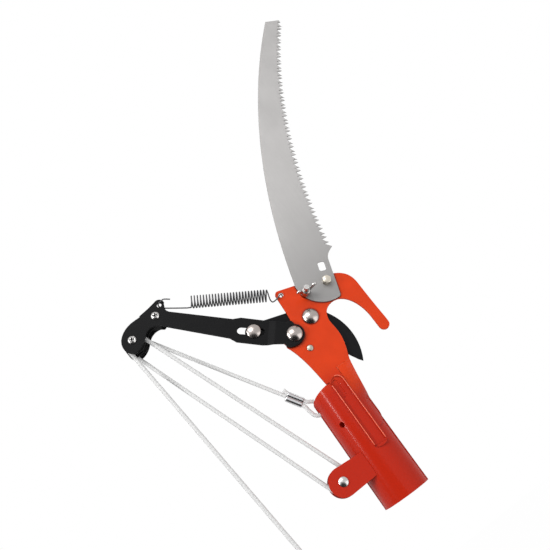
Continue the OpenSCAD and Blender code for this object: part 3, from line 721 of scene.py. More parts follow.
def rope_relief(rope):
    """Height of the crossing strands round and along the rope."""

    def height(turn, run):
        along = 2 * math.pi * run / rope.plait
        crossing = math.sin(ROPE_STRANDS * turn + along) * math.sin(ROPE_STRANDS * turn - along)
        return 1 + rope.relief / 2 * crossing

    return height


def rope_piece(name, path, material, body, *replaced):
    """A length of rope on a body, in place of the CAD nodes that are named."""
    rope = settings("pruner_rope")
    mesh = sweep(name, path, rope.diameter / 2, ROPE_SIDES, rope_relief(rope))
    piece = object_from(name, mesh, material)
    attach(piece, body)
    if replaced:
        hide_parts(*replaced)
    return piece


def shortened_run(name, run, end_when_closed, material, node):
    """A straight run between lever and body, with its own mesh, which rides on the lever."""
    start, end = run
    piece = rope_piece(name, straight_path(start, end, ROPE_STEP), material, "lever", node)
    closed = turn_about(end_when_closed, LEVER_PIVOT, -LEVER_SWING)
    closed.y = end.y
    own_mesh(piece)


def eye_directions():
    """Directions along and across the ferrule."""
    along = (ANCHOR_RUN[1] - EYE_AT).normalized()
    return along, Vector((-along.z, 0.0, along.x))


# Stage: places along the camera's right, up and back, from the point that it looks at, and sizes, in metres
KEY_LAMP = (Vector((-0.75, 1.05, 0.9)), (1.0, 1.0))
FILL_LAMP = (Vector((1.1, -0.1, 0.8)), (1.2, 1.2))
BACK_LAMP = (Vector((0.2, 0.8, -0.9)), (1.0, 1.0))
FRONT_CARD_DISTANCE, FRONT_CARD_RADIUS = 0.8, 0.78
BACK_CARD_DISTANCE, BACK_CARD_RADIUS = 0.9, 1.0
CARD_SIDES = 48
# The strip lamp's place is along the head's own axes
STRIP_LAMP = (1.5 * Vector((-0.813, -0.489, 0.317)), (0.05, 1.2))
# Half a side of the floor and the nearest that the camera sees, in metres, and its sensor in millimetres
FLOOR_HALF = 6.0
NEAREST_SEEN = 0.01
SENSOR_WIDTH = 36.0


class PRUNER_OT_stage(bpy.types.Operator):
    """Places the camera, lamps, floor and white surroundings"""

    bl_idname = "pruner.stage"
    bl_label = "Stage"

    def execute(self, context):
        stage = settings("pruner_stage")
        context.scene.view_settings.view_transform = "Standard"
        target = Vector(stage.look_at)
        up_plate = Vector((math.sin(stage.roll), 0.0, math.cos(stage.roll)))
        away = math.cos(stage.tilt) * BACKWARD + math.sin(stage.tilt) * up_plate
        right = Vector((math.cos(stage.roll), 0.0, -math.sin(stage.roll)))
        axes = Matrix((right, right.cross(away), -away)).transposed()
        self.place_camera(context.scene, stage, target, axes)
        lamps = (
            ("key_lamp", axes @ KEY_LAMP[0], KEY_LAMP[1], stage.key_power),
            ("fill_lamp", axes @ FILL_LAMP[0], FILL_LAMP[1], stage.fill_power),
            ("back_lamp", axes @ BACK_LAMP[0], BACK_LAMP[1], stage.fill_power),
            ("strip_lamp", *STRIP_LAMP, stage.strip_power),
        )
        for name, place, size, power in lamps:
            lamp = bpy.data.objects.new(name, bpy.data.lights.new(name, "AREA"))
            lamp.data.energy = power
            lamp.data.shape = "RECTANGLE"
            lamp.data.size, lamp.data.size_y = size
            lamp.location = target + place
            lamp.rotation_euler = (-place).to_track_quat("-Z", "Y").to_euler()
            context.scene.collection.objects.link(lamp)
        self.lay_floor(context.scene, stage)
        below = Vector((0.0, -math.sin(stage.card_drop), math.cos(stage.card_drop)))
        behind = Vector((0.0, 0.0, -1.0))
        black = card_black("black_card")
        cards = (
            ("front_card", FRONT_CARD_DISTANCE * below, FRONT_CARD_RADIUS),
            ("back_card", BACK_CARD_DISTANCE * behind, BACK_CARD_RADIUS),
        )
        for name, place, radius in cards:
            self.hang_card(context.scene, name, target, axes @ place, radius, black)
        self.surround(context.scene, stage)
        return {"FINISHED"}

    def place_camera(self, scene, stage, target, axes):
        camera = bpy.data.objects.new("camera", bpy.data.cameras.new("camera"))
        camera.data.lens = stage.lens
        camera.data.sensor_width = SENSOR_WIDTH
        camera.data.clip_start = NEAREST_SEEN
        place = target + stage.distance * axes.col[2]
        camera.matrix_world = Matrix.Translation(place) @ axes.to_4x4()
        scene.collection.objects.link(camera)
        scene.camera = camera

    def lay_floor(self, scene, stage):
        shape = bmesh.new()
        bmesh.ops.create_grid(shape, x_segments=2, y_segments=2, size=FLOOR_HALF)
        floor = bpy.data.objects.new("floor", mesh_from("floor", shape, False))
        floor.location.z = -stage.floor_drop
        floor.data.materials.append(studio_white("studio_white"))
        scene.collection.objects.link(floor)

    def hang_card(self, scene, name, target, place, radius, material):
        """A black card that only reflections see, so that round metal shows its form."""
        shape = bmesh.new()
        bmesh.ops.create_circle(shape, cap_ends=True, segments=CARD_SIDES, radius=radius)
        card = bpy.data.objects.new(name, mesh_from(name, shape, False))
        card.location = target + place
        card.rotation_euler = (-place).to_track_quat("Z", "Y").to_euler()
        card.data.materials.append(material)
        card.visible_camera = False
        card.visible_diffuse = False
        card.visible_shadow = False
        card.visible_transmission = False
        scene.collection.objects.link(card)

    def surround(self, scene, stage):
        """White to the camera and in reflections; as light, only as strong as the ambient setting."""
        world = bpy.data.worlds.new("studio")
        world.use_nodes = True
        scene.world = world
        tree = world.node_tree
        strength = tree.nodes.new("ShaderNodeMapRange")
        strength.inputs["To Min"].default_value = stage.ambient
        tree.links.new(seen_directly(tree), strength.inputs["Value"])
        background = tree.nodes["Background"]
        background.inputs["Color"].default_value = WHITE
        tree.links.new(strength.outputs["Result"], background.inputs["Strength"])


class PRUNER_OT_rope(bpy.types.Operator):
    """Makes the braided pull rope: eye, runs, wraps, free tail and stopper knot"""

    bl_idname = "pruner.rope"
    bl_label = "Rope"

    def execute(self, context):
        rope = settings("pruner_rope")
        braid = braided_fibre("white_braid", rope)
        self.free_tail(rope, braid)
        self.eye(braid)
        ferrule_tip = turn_about(ANCHOR_RUN[1], EYE_CENTRE, EYE_SWING)
        shortened_run("rope_anchor_run_braid", ANCHOR_RUN, ferrule_tip, braid, "rope_anchor_run")
        self.sheave_runs(braid)
        return {"FINISHED"}

    def free_tail(self, rope, braid):
        """The pull end, held taut from below, down to its stopper knot."""
        start, end = TAIL_RUN
        route = straight_path(start, end, ROPE_STEP)
        tail = rope_piece("rope_tail_braid", route, braid, "rope_tail", "rope_tail")
        down = (end - start).normalized()
        side = down.cross(BACKWARD).normalized()
        curls = []
        for i in range(KNOT_POINTS + 1):
            share = i / KNOT_POINTS
            turn = 2 * math.pi * KNOT_CURLS * share
            bulge = KNOT_RADIUS * (KNOT_SLIMMEST + (1 - KNOT_SLIMMEST) * math.sin(math.pi * share))
            outward = math.cos(turn) * side + math.sin(turn) * BACKWARD
            curls.append(end + (KNOT_START + KNOT_LENGTH * share) * down + bulge * outward)
        core = straight_path(*[end + far * down for far in KNOT_CORE], ROPE_STEP)
        knot = rope_piece("stopper_knot", curls, braid, "rope_tail", "tail_knot")
        knot_core = rope_piece("stopper_knot_core", core, braid, "rope_tail")

    def eye(self, braid):
        """The loop over the socket's rim, through the hole in its wall, and the rope's cut end."""
        along, across = eye_directions()
        tip = (ANCHOR_RUN[1] - EYE_AT).length
        mouth = tip - FERRULE_LENGTH

        def place(far, wide):
            return EYE_AT + far * along + wide * across

        strand = ((mouth + 1 * MM, 2.3 * MM), (mouth - 3 * MM, 2.4 * MM), (7.5 * MM, 4.4 * MM))
        points = [place(far, wide) for far, wide in strand]
        for degrees in EYE_ANGLES:
            turn = math.radians(degrees)
            points.append(place(EYE_RADIUS * math.cos(turn), EYE_RADIUS * math.sin(turn)))
        points += [place(far, -wide) for far, wide in reversed(strand)]
        rope_piece("rope_eye_braid", smooth_path(points, ROPE_STEP), braid, "rope_anchor", "rope_eye")
        cut_end = straight_path(*[place(tip + far * MM, wide * MM) for far, wide in CUT_END], ROPE_STEP)
        rope_piece("rope_cut_end", cut_end, braid, "rope_anchor")

    def sheave_runs(self, braid):
        """The runs between the block and the body pulley, with their wraps."""
        closed_axle = turn_about(BLOCK_AXLE, LEVER_PIVOT, LEVER_SWING)
        lean = angle_of(BODY_AXLE, closed_axle)
        closed_lift = on_circle(BODY_AXLE, BODY_WRAP, lean + math.pi / 2, BODY_GROOVE)
        closed_return = on_circle(BODY_AXLE, BODY_WRAP, lean - math.pi / 2, BODY_GROOVE)
        shortened_run("rope_lift_run_braid", LIFT_RUN, closed_lift, braid, "rope_lift_run")
        shortened_run("rope_return_run_braid", RETURN_RUN, closed_return, braid, "rope_return_run")
        block, base = (BLOCK_AXLE, BLOCK_WRAP), (BODY_AXLE, BODY_WRAP)
        wraps = (
            ("rope_rear_wrap", block, REAR_GROOVE, ANCHOR_RUN[0], RETURN_RUN[0], 0.0, "lever"),
            ("rope_front_wrap", block, FRONT_GROOVE, LIFT_RUN[0], TAIL_RUN[0], 0.0, "lever"),
            ("rope_body_wrap", base, BODY_GROOVE, RETURN_RUN[1], LIFT_RUN[1], BODY_WRAP_OVER, "head"),
        )
        for node, (centre, radius), y, start, end, over, body in wraps:
            first, last = angle_of(start, centre), angle_of(end, centre)
            last += 2 * math.pi if last < first else 0.0
            path = arc_path(centre, radius, first, last + over, y, WRAP_STEP)
            rope_piece(node + "_braid", path, braid, body, node)


# Ferrule: two barrels side by side, their share in its outline against a smooth oval, and its rounded lips
BARREL_RADIUS = 2.7 * MM
BARREL_OFFSET = 2.3 * MM
BARREL_SHARE = 0.55
LIP_DROP = 0.4 * MM
LIP_SHARE = 1 / 16
FERRULE_STEPS = 24
FERRULE_SIDES = 48


class PRUNER_OT_ferrule(bpy.types.Operator):
    """Makes the crimped ferrule that closes the rope's eye"""

    bl_idname = "pruner.ferrule"
    bl_label = "Ferrule"

    def execute(self, context):
        along, across = eye_directions()
        start = ANCHOR_RUN[1] - FERRULE_LENGTH * along
        metal = sheet_metal(
            "crimped_metal", settings("pruner_rope").ferrule, roughness=0.20, metallic=1.0,
            edge=(0.75, 0.75, 0.76), wear_and_highlight=0.5, grain=700.0, bevel=0.3 * MM,
        )
        shape = bmesh.new()
        rings = []
        for i in range(FERRULE_STEPS + 1):
            share = i / FERRULE_STEPS
            lip = LIP_DROP * (1 - min(1.0, min(share, 1 - share) / LIP_SHARE)) ** 2
            ring = []
            for j in range(FERRULE_SIDES):
                turn = 2 * math.pi * j / FERRULE_SIDES
                reach = self.barrel_reach(turn) - lip
                outward = math.cos(turn) * across + math.sin(turn) * BACKWARD
                ring.append(shape.verts.new(start + share * FERRULE_LENGTH * along + reach * outward))
            rings.append(ring)
        join_rings(shape, rings)
        shape.faces.new(rings[0])
        shape.faces.new(rings[-1])
        ferrule = object_from("crimped_ferrule", mesh_from("crimped_ferrule", shape), metal)
        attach(ferrule, "rope_anchor")
        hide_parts("rope_ferrule")
        return {"FINISHED"}

    def barrel_reach(self, turn):
        """Between a smooth oval and two round barrels side by side, so a groove runs along the middle."""
        cosine, sine = abs(math.cos(turn)), abs(math.sin(turn))
        barrels = BARREL_OFFSET * cosine + math.sqrt(BARREL_RADIUS**2 - (BARREL_OFFSET * sine) ** 2)
        oval = barrels if barrels * cosine > BARREL_OFFSET else BARREL_RADIUS / sine
        return (1 - BARREL_SHARE) * oval + BARREL_SHARE * barrels


# Spring, from the hole in the plate's tab: the first curl's start, and the hole in the lever's tab
COIL_START = 12.4 * MM
SPRING_SPAN = 120.12 * MM
SPRING_ALONG = Vector(JOINTS["spring_stretch"]["axis"]).normalized()
SPRING_ACROSS = Vector((-SPRING_ALONG.z, 0.0, SPRING_ALONG.x))
# Where the wire leaves the coil, across the spring and back, and how far off the bend just before it lies
EXIT_WIDE, EXIT_BACK = 3.6 * MM, 3.4 * MM
EXIT_BEND = (-0.1 * MM, 0.2 * MM)
# Wire as (along, across, back) in millimetres: from the plate's hole, the coil's end and the lever's hole
PLATE_HOOK = (
    (-1.2, 1.4, 4.2), (-1.6, 0.8, 2.6), (-1.2, 0.3, 0.6), (-0.8, 0.0, -1.6), (0.6, 0.4, -3.4),
    (3.3, 3.4, -3.4), (6.2, 6.0, -3.0), (8.8, 7.1, -2.6), (10.8, 5.4, -3.6), (12.0, 2.0, -5.3),
    (12.9, -1.8, -5.8), (13.6, -5.0, -3.9),
)
DRAW_REACH = ((12.5, 3.0, 3.4), (22.5, 2.2, 3.4), (28.0, 1.6, 3.6))
LEVER_HOOK = (
    (-0.6, 0.8, 3.4), (0.8, 0.0, 1.6), (0.8, -0.4, -1.2), (-0.4, -1.4, -3.4), (-3.0, -3.4, -4.0),
    (-5.1, -4.8, -4.0), (-11.3, -4.2, -4.0),
)
# How finely the wire is drawn
CURL_POINTS = 24
WIRE_SIDES = 10
WIRE_STEP = 0.6 * MM
EXIT_STEP = 0.4 * MM


def on_spring(far, wide, back):
    """A place along the spring from the plate's hole, across it, and back from the plate's middle."""
    root = pivot("spring_swing")
    root.y = (PLATE_FRONT + PLATE_BACK) / 2
    return root + far * SPRING_ALONG + wide * SPRING_ACROSS + back * BACKWARD


def wire_points(start, corners):
    """Places on the spring as (along, across, back) in millimetres, counted from a place along it."""
    return [on_spring(start + far * MM, wide * MM, back * MM) for far, wide, back in corners]


class PRUNER_OT_spring(bpy.types.Operator):
    """Winds the return spring and its hooks"""

    bl_idname = "pruner.spring"
    bl_label = "Return spring"

    def execute(self, context):
        spring = settings("pruner_spring")
        steel = sheet_metal(
            "oiled_wire", spring.colour, roughness=0.36, metallic=0.7, edge=grey(0.20), wear_and_highlight=0.3,
            grain=900.0, bevel=0.1 * MM,
        )
        last = COIL_START + spring.coil_length
        exit_start = on_spring(last + 2 * spring.wire, EXIT_WIDE, EXIT_BACK)
        coil = self.coil(spring)
        lead = smooth_path(wire_points(0.0, PLATE_HOOK) + coil[:1], WIRE_STEP)[:-1]
        bend = on_spring(last + spring.wire / 2, EXIT_WIDE + EXIT_BEND[0], EXIT_BACK + EXIT_BEND[1])
        out = smooth_path([coil[-1], bend, exit_start], EXIT_STEP)
        mesh = sweep("wound_spring", lead + coil[:-1] + out, spring.wire / 2, WIRE_SIDES)
        wound = object_from("wound_spring", mesh, steel)
        on_spring(COIL_START, 0, 0)
        on_spring(last, 0, 0)
        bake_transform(wound)
        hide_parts("return_spring")
        points = [exit_start, on_spring(last + 3 * spring.wire, EXIT_WIDE, EXIT_BACK)]
        points += wire_points(last, DRAW_REACH) + wire_points(SPRING_SPAN, LEVER_HOOK)
        mesh = sweep("spring_reach", smooth_path(points, WIRE_STEP), spring.wire / 2, WIRE_SIDES)
        reach = object_from("spring_reach", mesh, steel)
        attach(reach, "spring_end")
        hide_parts("spring_draw_hook")
        return {"FINISHED"}

    def coil(self, spring):
        """The curls, from half a turn in, where the lead joins, to just short of the last full turn."""
        radius = (spring.coil_diameter - spring.wire) / 2
        total = spring.curls * CURL_POINTS
        points = []
        for i in range(CURL_POINTS // 2, total - 2):
            turn = 2 * math.pi * i / CURL_POINTS
            far = COIL_START + spring.coil_length * i / total
            points.append(on_spring(far, radius * math.cos(turn) - spring.lift, -radius * math.sin(turn)))
        return points


# Domed heads: the rim's height, the crown's share of the radius, and how finely the crown is drawn
DOME_RIM = 0.8 * MM
CROWN_SHARE = 0.985
CROWN_STEPS = 12
# Rounded rim as shares of the radius and of the rim's height above the seat
RIM_PROFILE = ((1.0, 0.8), (1.0, 0.1), (0.99, 0.0))


def dome_profile(diameter, height, seat, shank, back):
    """Outline of a domed rivet or bolt: crown, rounded rim, seat and shank."""
    radius, rise = diameter / 2, height - DOME_RIM
    ball = (rise * rise + radius * radius) / (2 * rise)
    profile = []
    for i in range(CROWN_STEPS + 1):
        x = CROWN_SHARE * radius * i / CROWN_STEPS
        profile.append((x, seat - height + ball - math.sqrt(ball * ball - x * x)))
    profile += [(wide * radius, seat - high * DOME_RIM) for wide, high in RIM_PROFILE]
    return profile + [(shank, seat), (shank, back), (0.0, back)]


class PRUNER_OT_domed_heads(bpy.types.Operator):
    """Turns the smooth domed heads of the pivots, slot pin and stop rivet"""

    bl_idname = "pruner.domed_heads"
    bl_label = "Domed heads"

    def execute(self, context):
        paint = settings("pruner_paint")
        # Warm plating with a painted reflection of the orange-red around the heads
        plated = sheet_metal(
            "dome_nickel_and_reflection", paint.dome_plating_and_reflection, roughness=0.25, metallic=1.0, edge=grey(0.6), wear_and_highlight=0.3, grain=500.0
        )
        yellow = sheet_metal(
            "yellow_dome", shaded(paint.zinc, 0.72), roughness=0.36, metallic=0.9, edge=(0.60, 0.55, 0.45),
            wear_and_highlight=0.4, grain=600.0,
        )
        # Piece, CAD node, height of the head, radius of the shank, body and finish
        heads = (
            ("main_pivot_dome", "main_pivot_bolt", 4.2 * MM, 4.0 * MM, "head", plated),
            ("lever_pivot_dome", "lever_pivot_bolt", 4.0 * MM, 4.0 * MM, "head", plated),
            ("slot_pin_dome", "slot_pin", 3.0 * MM, 2.25 * MM, "cutter", plated),
            ("stop_rivet_dome", "stop_rivet", 1.4 * MM, 2.0 * MM, "head", yellow),
        )
        for name, node, height, shank, body, finish in heads:
            low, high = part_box(node)
            profile = dome_profile(high.x - low.x, height, low.y + height, shank, high.y)
            piece = object_from(name, lathe(name, profile, middle(node)), finish)
            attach(piece, body)
            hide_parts(node)
        return {"FINISHED"}


# Cross recess of the block's screws, repeated from the part's source, and the dark filling, painted shade,
# that lies in it
RECESS_DEPTH = 1.4 * MM
RECESS_TURN = 20.0
RECESS_LENGTH = 4.7 * MM
RECESS_WIDTH = 1.1 * MM
SHADE_FILL_DEPTH = 0.5 * MM


class PRUNER_OT_drive_recesses(bpy.types.Operator):
    """Lays a dark filling into the cross recesses of the block's two screws, painted shade at their bottoms"""

    bl_idname = "pruner.drive_recesses"
    bl_label = "Drive recesses"

    def execute(self, context):
        # Painted shade: a black filling near the bottom of each recess
        recess_shade = sheet_metal(
            "recess_shade_dark", grey(0.02), roughness=0.6, edge=grey(0.03), wear_and_highlight=0.2, grain=900.0
        )
        size = Matrix.Diagonal((RECESS_LENGTH, SHADE_FILL_DEPTH, RECESS_WIDTH, 1.0))
        screws = (("block_screw_recess_shade", "block_screw"), ("axle_screw_recess_shade", "sheave_axle_screw"))
        for name, node in screws:
            centre = middle(node)
            centre.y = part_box(node)[0].y + RECESS_DEPTH - SHADE_FILL_DEPTH / 2
            shape = bmesh.new()
            for degrees in (RECESS_TURN, RECESS_TURN + 90.0):
                turn = Matrix.Rotation(math.radians(degrees), 4, "Y")
                bmesh.ops.create_cube(shape, size=1.0, matrix=Matrix.Translation(centre) @ turn @ size)
            piece = object_from(name, mesh_from(name, shape, False), recess_shade)
            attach(piece, "lever")
        return {"FINISHED"}


# Wing nut, in millimetres: the boss as (radius, height), and an ear's outline as (distance out, height)
BOSS_PROFILE = (
    (2.55, 0.0), (4.4, 0.0), (4.6, 0.3), (4.1, 4.48), (3.6, 6.1), (3.3, 6.4), (2.55, 6.4), (2.55, 0.0),
)
EAR_FOOT = ((3.0, 1.0), (4.3, 1.2), (6.0, 4.4), (8.6, 7.6))
EAR_LOBE = Vector((8.4, 11.0))
EAR_LOBE_RADIUS = 2.6
EAR_LOBE_ANGLES = range(-60, 151, 15)
EAR_SHOULDER = ((4.8, 9.4), (3.6, 6.8), (3.0, 6.0))
# Half an ear's thickness, the rounding of its edges, and the angle from which an edge is rounded, in radians
EAR_HALF = 0.9 * MM
EAR_ROUNDING = 0.5 * MM
EAR_SHARP = 0.8
EAR_ROUND_STEPS = 3


class PRUNER_OT_wing_nut(bpy.types.Operator):
    """Casts the wing nut on the saw's stud"""

    bl_idname = "pruner.wing_nut"
    bl_label = "Wing nut"

    turn: bpy.props.FloatProperty(
        name="Turn", description="Angle of the ears", default=math.radians(-5.0), unit="ROTATION"
    )

    def execute(self, context):
        metal = sheet_metal(
            "cast_wing", settings("pruner_paint").nickel, roughness=0.32, metallic=1.0, edge=grey(0.82),
            wear_and_highlight=0.4, grain=800.0, bevel=0.5 * MM,
        )
        centre = pivot("wing_nut_turn")
        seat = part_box("wing_nut")[1].y
        profile = [(radius * MM, seat - rise * MM) for radius, rise in BOSS_PROFILE]
        boss = lathe("wing_nut_boss", profile, centre)
        piece = object_from("wing_nut_boss", boss, metal)
        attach(piece, "wing_nut")
        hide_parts("wing_nut")
        along = Vector((math.cos(self.turn), 0.0, math.sin(self.turn)))
        for name, outward in (("wing_nut_ear_right", along), ("wing_nut_ear_left", -along)):
            ear = object_from(name, self.ear(name, outward, centre, seat), metal)
            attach(ear, "wing_nut")
        return {"FINISHED"}

    def ear(self, name, outward, centre, seat):
        """One flat ear with a round lobe and rounded edges."""
        thin = Vector((-outward.z, 0.0, outward.x))
        outline = list(EAR_FOOT)
        for degrees in EAR_LOBE_ANGLES:
            turn = math.radians(degrees)
            outline.append(EAR_LOBE + EAR_LOBE_RADIUS * Vector((math.cos(turn), math.sin(turn))))
        outline += EAR_SHOULDER
        shape = bmesh.new()
        sides = []
        for half in (EAR_HALF, -EAR_HALF):
            ring = []
            for far, rise in outline:
                place = centre + far * MM * outward + half * thin
                place.y = seat - rise * MM
                ring.append(shape.verts.new(place))
            sides.append(ring)
        shape.faces.new(sides[0])
        shape.faces.new(list(reversed(sides[1])))
        join_rings(shape, sides)
        bmesh.ops.recalc_face_normals(shape, faces=shape.faces)
        sharp = [edge for edge in shape.edges if abs(edge.calc_face_angle(0.0)) > EAR_SHARP]
        bmesh.ops.bevel(
            shape, geom=sharp, offset=EAR_ROUNDING, segments=EAR_ROUND_STEPS, profile=0.5, affect="EDGES"
        )
        return mesh_from(name, shape)


# Saw: the arcs of its back and toothed edge are repeated from the part's source, and its foot is tighter
SAW_HEEL = Vector((81.0, 0.0, 239.0)) * MM
SAW_LEAN = math.radians(12.2)
TOOTH_RADIUS = 667 * MM
TOOTH_CENTRE = SAW_HEEL + TOOTH_RADIUS * Vector((math.cos(SAW_LEAN), 0.0, -math.sin(SAW_LEAN)))
BACK_HEEL = Vector((25.3, 0.0, 217.4)) * MM
BACK_LEAN = math.radians(15)
BACK_RADIUS = 718 * MM
BACK_CENTRE = BACK_HEEL + BACK_RADIUS * Vector((math.cos(BACK_LEAN), 0.0, -math.sin(BACK_LEAN)))
FOOT_CENTRE = Vector((54.0, 0.0, 213.0)) * MM
FOOT_RADIUS = 29.3 * MM
FOOT_ARC = (math.radians(172), math.radians(270))
# How much the back's arc is cut short at the nose and at the foot
BACK_TRIM = (math.radians(0.4), math.radians(0.2))
# Curves of the foot's corner and of the spur below the first tooth, as (x, z) in millimetres
FOOT_CORNER = ((54.0, 183.7), (56.4, 183.4), (57.4, 184.5), (58.3, 187.3))
HEEL_SPUR = ((69.3, 221.5), (70.6, 226.0), (74.5, 229.6), (81.3, 232.0))
# How finely the foot, the back and those two curves are drawn
FOOT_STEP, BACK_STEP = 3 * MM, 12 * MM
CORNER_POINTS, SPUR_POINTS = 8, 14
# Teeth in pairs: places along the edge from the heel, heights and depths against the edge's arc
SAW_TEETH = 57
FIRST_TOOTH = -0.95 * MM
TOOTH_PITCH = 5.18 * MM
PAIR_SHIFT = 0.58 * MM
TOOTH_RISE = 1.1 * MM
GULLET_DEPTH = 4.7 * MM
GULLET_RAKE = 0.5 * MM
TOOTH_GRIND = 2.0 * MM
# Nose past the last pair, as (place along the edge, depth) in millimetres
SAW_NOSE = ((294.4, 4.7), (294.9, 1.4), (297.7, 3.4))
SAW_HOLE = 2.7 * MM
# Slot to hang the saw by: its middle, turn, half length and half width, and corners
HANG_SLOT_AT = Vector((59.7, 0.0, 219.7)) * MM
HANG_SLOT_TURN = math.radians(72)
HANG_SLOT_REACH = (4.9 * MM, 3.6 * MM)
HANG_SLOT_CORNER = 2 * MM
HANG_SLOT_STEP = 0.8 * MM
# Direction of the grinding lines, the heights between which the steel darkens with painted shade, and its
# shaded tone at the heel
SAW_LINES = math.radians(-27)
SAW_SHADE_FADE = (0.315, 0.185)
SAW_HEEL_SHADE = 0.68


def on_edge(along, depth):
    """A place on the saw's toothed edge, from its heel towards its nose."""
    return on_circle(TOOTH_CENTRE, TOOTH_RADIUS + depth, math.pi - SAW_LEAN - along / TOOTH_RADIUS, 0.0)


def hanging_slot():
    """A slot with rounded corners, turned along the saw."""
    length, width = HANG_SLOT_REACH
    points = []
    for quarter, (i, j) in enumerate(((1, 1), (-1, 1), (-1, -1), (1, -1))):
        corner = Vector((i * (length - HANG_SLOT_CORNER), 0.0, j * (width - HANG_SLOT_CORNER)))
        start = quarter * math.pi / 2
        points += arc_path(corner, HANG_SLOT_CORNER, start, start + math.pi / 2, 0.0, HANG_SLOT_STEP)
    return [HANG_SLOT_AT + turning(HANG_SLOT_TURN) @ point for point in points]


class PRUNER_OT_ground_saw(bpy.types.Operator):
    """Cuts the saw with its deep paired teeth, each ground on one side, and its heel spur"""

    bl_idname = "pruner.ground_saw"
    bl_label = "Ground saw"

    def execute(self, context):
        holes = [hanging_slot()] + [round_hole(middle(node), SAW_HOLE) for node in ("saw_bolt", "wing_stud")]
        front = at_depth([self.rim(0)] + holes, SAW_FRONT)
        back = at_depth([self.rim(1)] + holes, PLATE_FRONT)
        colour = settings("pruner_paint").saw
        steel = ground_steel("satin_saw", colour, SAW_LINES, SAW_SHADE_FADE, SAW_HEEL_SHADE)
        piece = object_from("ground_saw", cut_sheet("ground_saw", front, back), steel)
        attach(piece, "head")
        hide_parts("saw_blade")
        return {"FINISHED"}

    def rim(self, parity):
        """The outline on one side, where every second tooth is ground back."""
        nose = [on_edge(along * MM, depth * MM) for along, depth in SAW_NOSE]
        back_start = angle_of(nose[-1], BACK_CENTRE) + BACK_TRIM[0]
        back_end = math.pi - BACK_LEAN - BACK_TRIM[1]
        rim = arc_path(FOOT_CENTRE, FOOT_RADIUS, *FOOT_ARC, 0.0, FOOT_STEP)
        rim += curve_from(FOOT_CORNER, CORNER_POINTS)[1:] + curve_from(HEEL_SPUR, SPUR_POINTS)
        for n in range(SAW_TEETH):
            along = FIRST_TOOTH + n * TOOTH_PITCH + (n % 2) * PAIR_SHIFT
            ground = TOOTH_GRIND if n % 2 == parity else 0.0
            rim += [on_edge(along - GULLET_RAKE, GULLET_DEPTH), on_edge(along, ground - TOOTH_RISE)]
        return rim + nose + arc_path(BACK_CENTRE, BACK_RADIUS, back_start, back_end, 0.0, BACK_STEP)


# Block cheeks in the lever's frame: curves as (along, across) in millimetres from the sheave axle
LEVER_ANGLE = math.radians(141.7)
CHEEK_CURVES = (
    ((0.4, -20.0), (7.0, -14.5), (11.0, -6.5), (10.3, 1.5)),
    ((10.3, 1.5), (9.0, 9.5), (3.5, 13.5), (-3.0, 13.1)),
    ((-3.0, 13.1), (-9.0, 11.5), (-12.4, 2.5), (-12.0, -5.0)),
    ((-12.0, -5.0), (-11.8, -12.0), (-14.5, -18.5), (-22.5, -21.5)),
)
CHEEK_POINTS = 12
# Round end of a cheek about the block's screw: radius, first and last angle, and how finely it is drawn
SCREW_END_RADIUS = 8 * MM
SCREW_END = (LEVER_ANGLE + math.radians(140), LEVER_ANGLE + math.radians(295))
SCREW_END_STEP = 1 * MM
CHEEK_HOLE = 2.52 * MM


class PRUNER_OT_block_cheeks(bpy.types.Operator):
    """Cuts the block's middle and rear cheeks, hollowed for the rope under the lever"""

    bl_idname = "pruner.block_cheeks"
    bl_label = "Block cheeks"

    def execute(self, context):
        satin = black_satin(settings("pruner_paint"))
        screw = middle("block_screw")
        curves = [point for curve in CHEEK_CURVES for point in curve_from(curve, CHEEK_POINTS)[:-1]]
        rim = [BLOCK_AXLE + turning(LEVER_ANGLE) @ point for point in curves]
        rim += arc_path(screw, SCREW_END_RADIUS, *SCREW_END, 0.0, SCREW_END_STEP)
        outlines = [rim] + [round_hole(centre, CHEEK_HOLE) for centre in (BLOCK_AXLE, screw)]
        for name, node in (("mid_cheek_plate", "mid_cheek"), ("rear_cheek_plate", "rear_cheek")):
            front, back = [at_depth(outlines, corner.y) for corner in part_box(node)]
            piece = object_from(name, cut_sheet(name, front, back), satin)
            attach(piece, "lever")
            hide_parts(node)
        return {"FINISHED"}


# Beads beside the pressed channel, repeated from the part's source: place across, and where they end
BEAD_LEFT, BEAD_RIGHT = -2.6 * MM, 10.0 * MM
BEAD_FOOT, BEAD_TOP = 51 * MM, 116 * MM
CHANNEL_HEAD = Vector((3.25, 0.0, 115.75)) * MM
# Crests, a painted highlight along the beads: thickness, height above the plate, the angle at which the right
# one starts, and how finely drawn
CREST_RADIUS = 0.5 * MM
CREST_RISE = 0.3 * MM
CREST_BEND = 0.47 * math.pi
CREST_SIDES = 12
CREST_STEP, BEND_STEP = 2 * MM, 0.8 * MM


class PRUNER_OT_bead_crests(bpy.types.Operator):
    """Lays lighter crests of paint along the pressed channel's two beads, a painted highlight"""

    bl_idname = "pruner.bead_crests"
    bl_label = "Bead crests"

    def execute(self, context):
        highlight_paint = sheet_metal(
            "crest_highlight_enamel", settings("pruner_paint").crest_highlight, roughness=0.25, edge=(0.92, 0.34, 0.20),
            wear_and_highlight=0.5, grain=1100.0, gloss=0.3,
        )
        y = PLATE_FRONT - CREST_RISE
        left = straight_path(Vector((BEAD_LEFT, y, BEAD_TOP)), Vector((BEAD_LEFT, y, BEAD_FOOT)), CREST_STEP)
        bend = arc_path(CHANNEL_HEAD, BEAD_RIGHT - CHANNEL_HEAD.x, CREST_BEND, 0.0, y, BEND_STEP)
        right = bend[:-1] + straight_path(bend[-1], Vector((BEAD_RIGHT, y, BEAD_FOOT)), CREST_STEP)
        for name, path in (("bead_crest_left", left), ("bead_crest_right", right)):
            mesh = sweep(name, path, CREST_RADIUS, CREST_SIDES)
            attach(object_from(name, mesh, highlight_paint), "head")
        return {"FINISHED"}


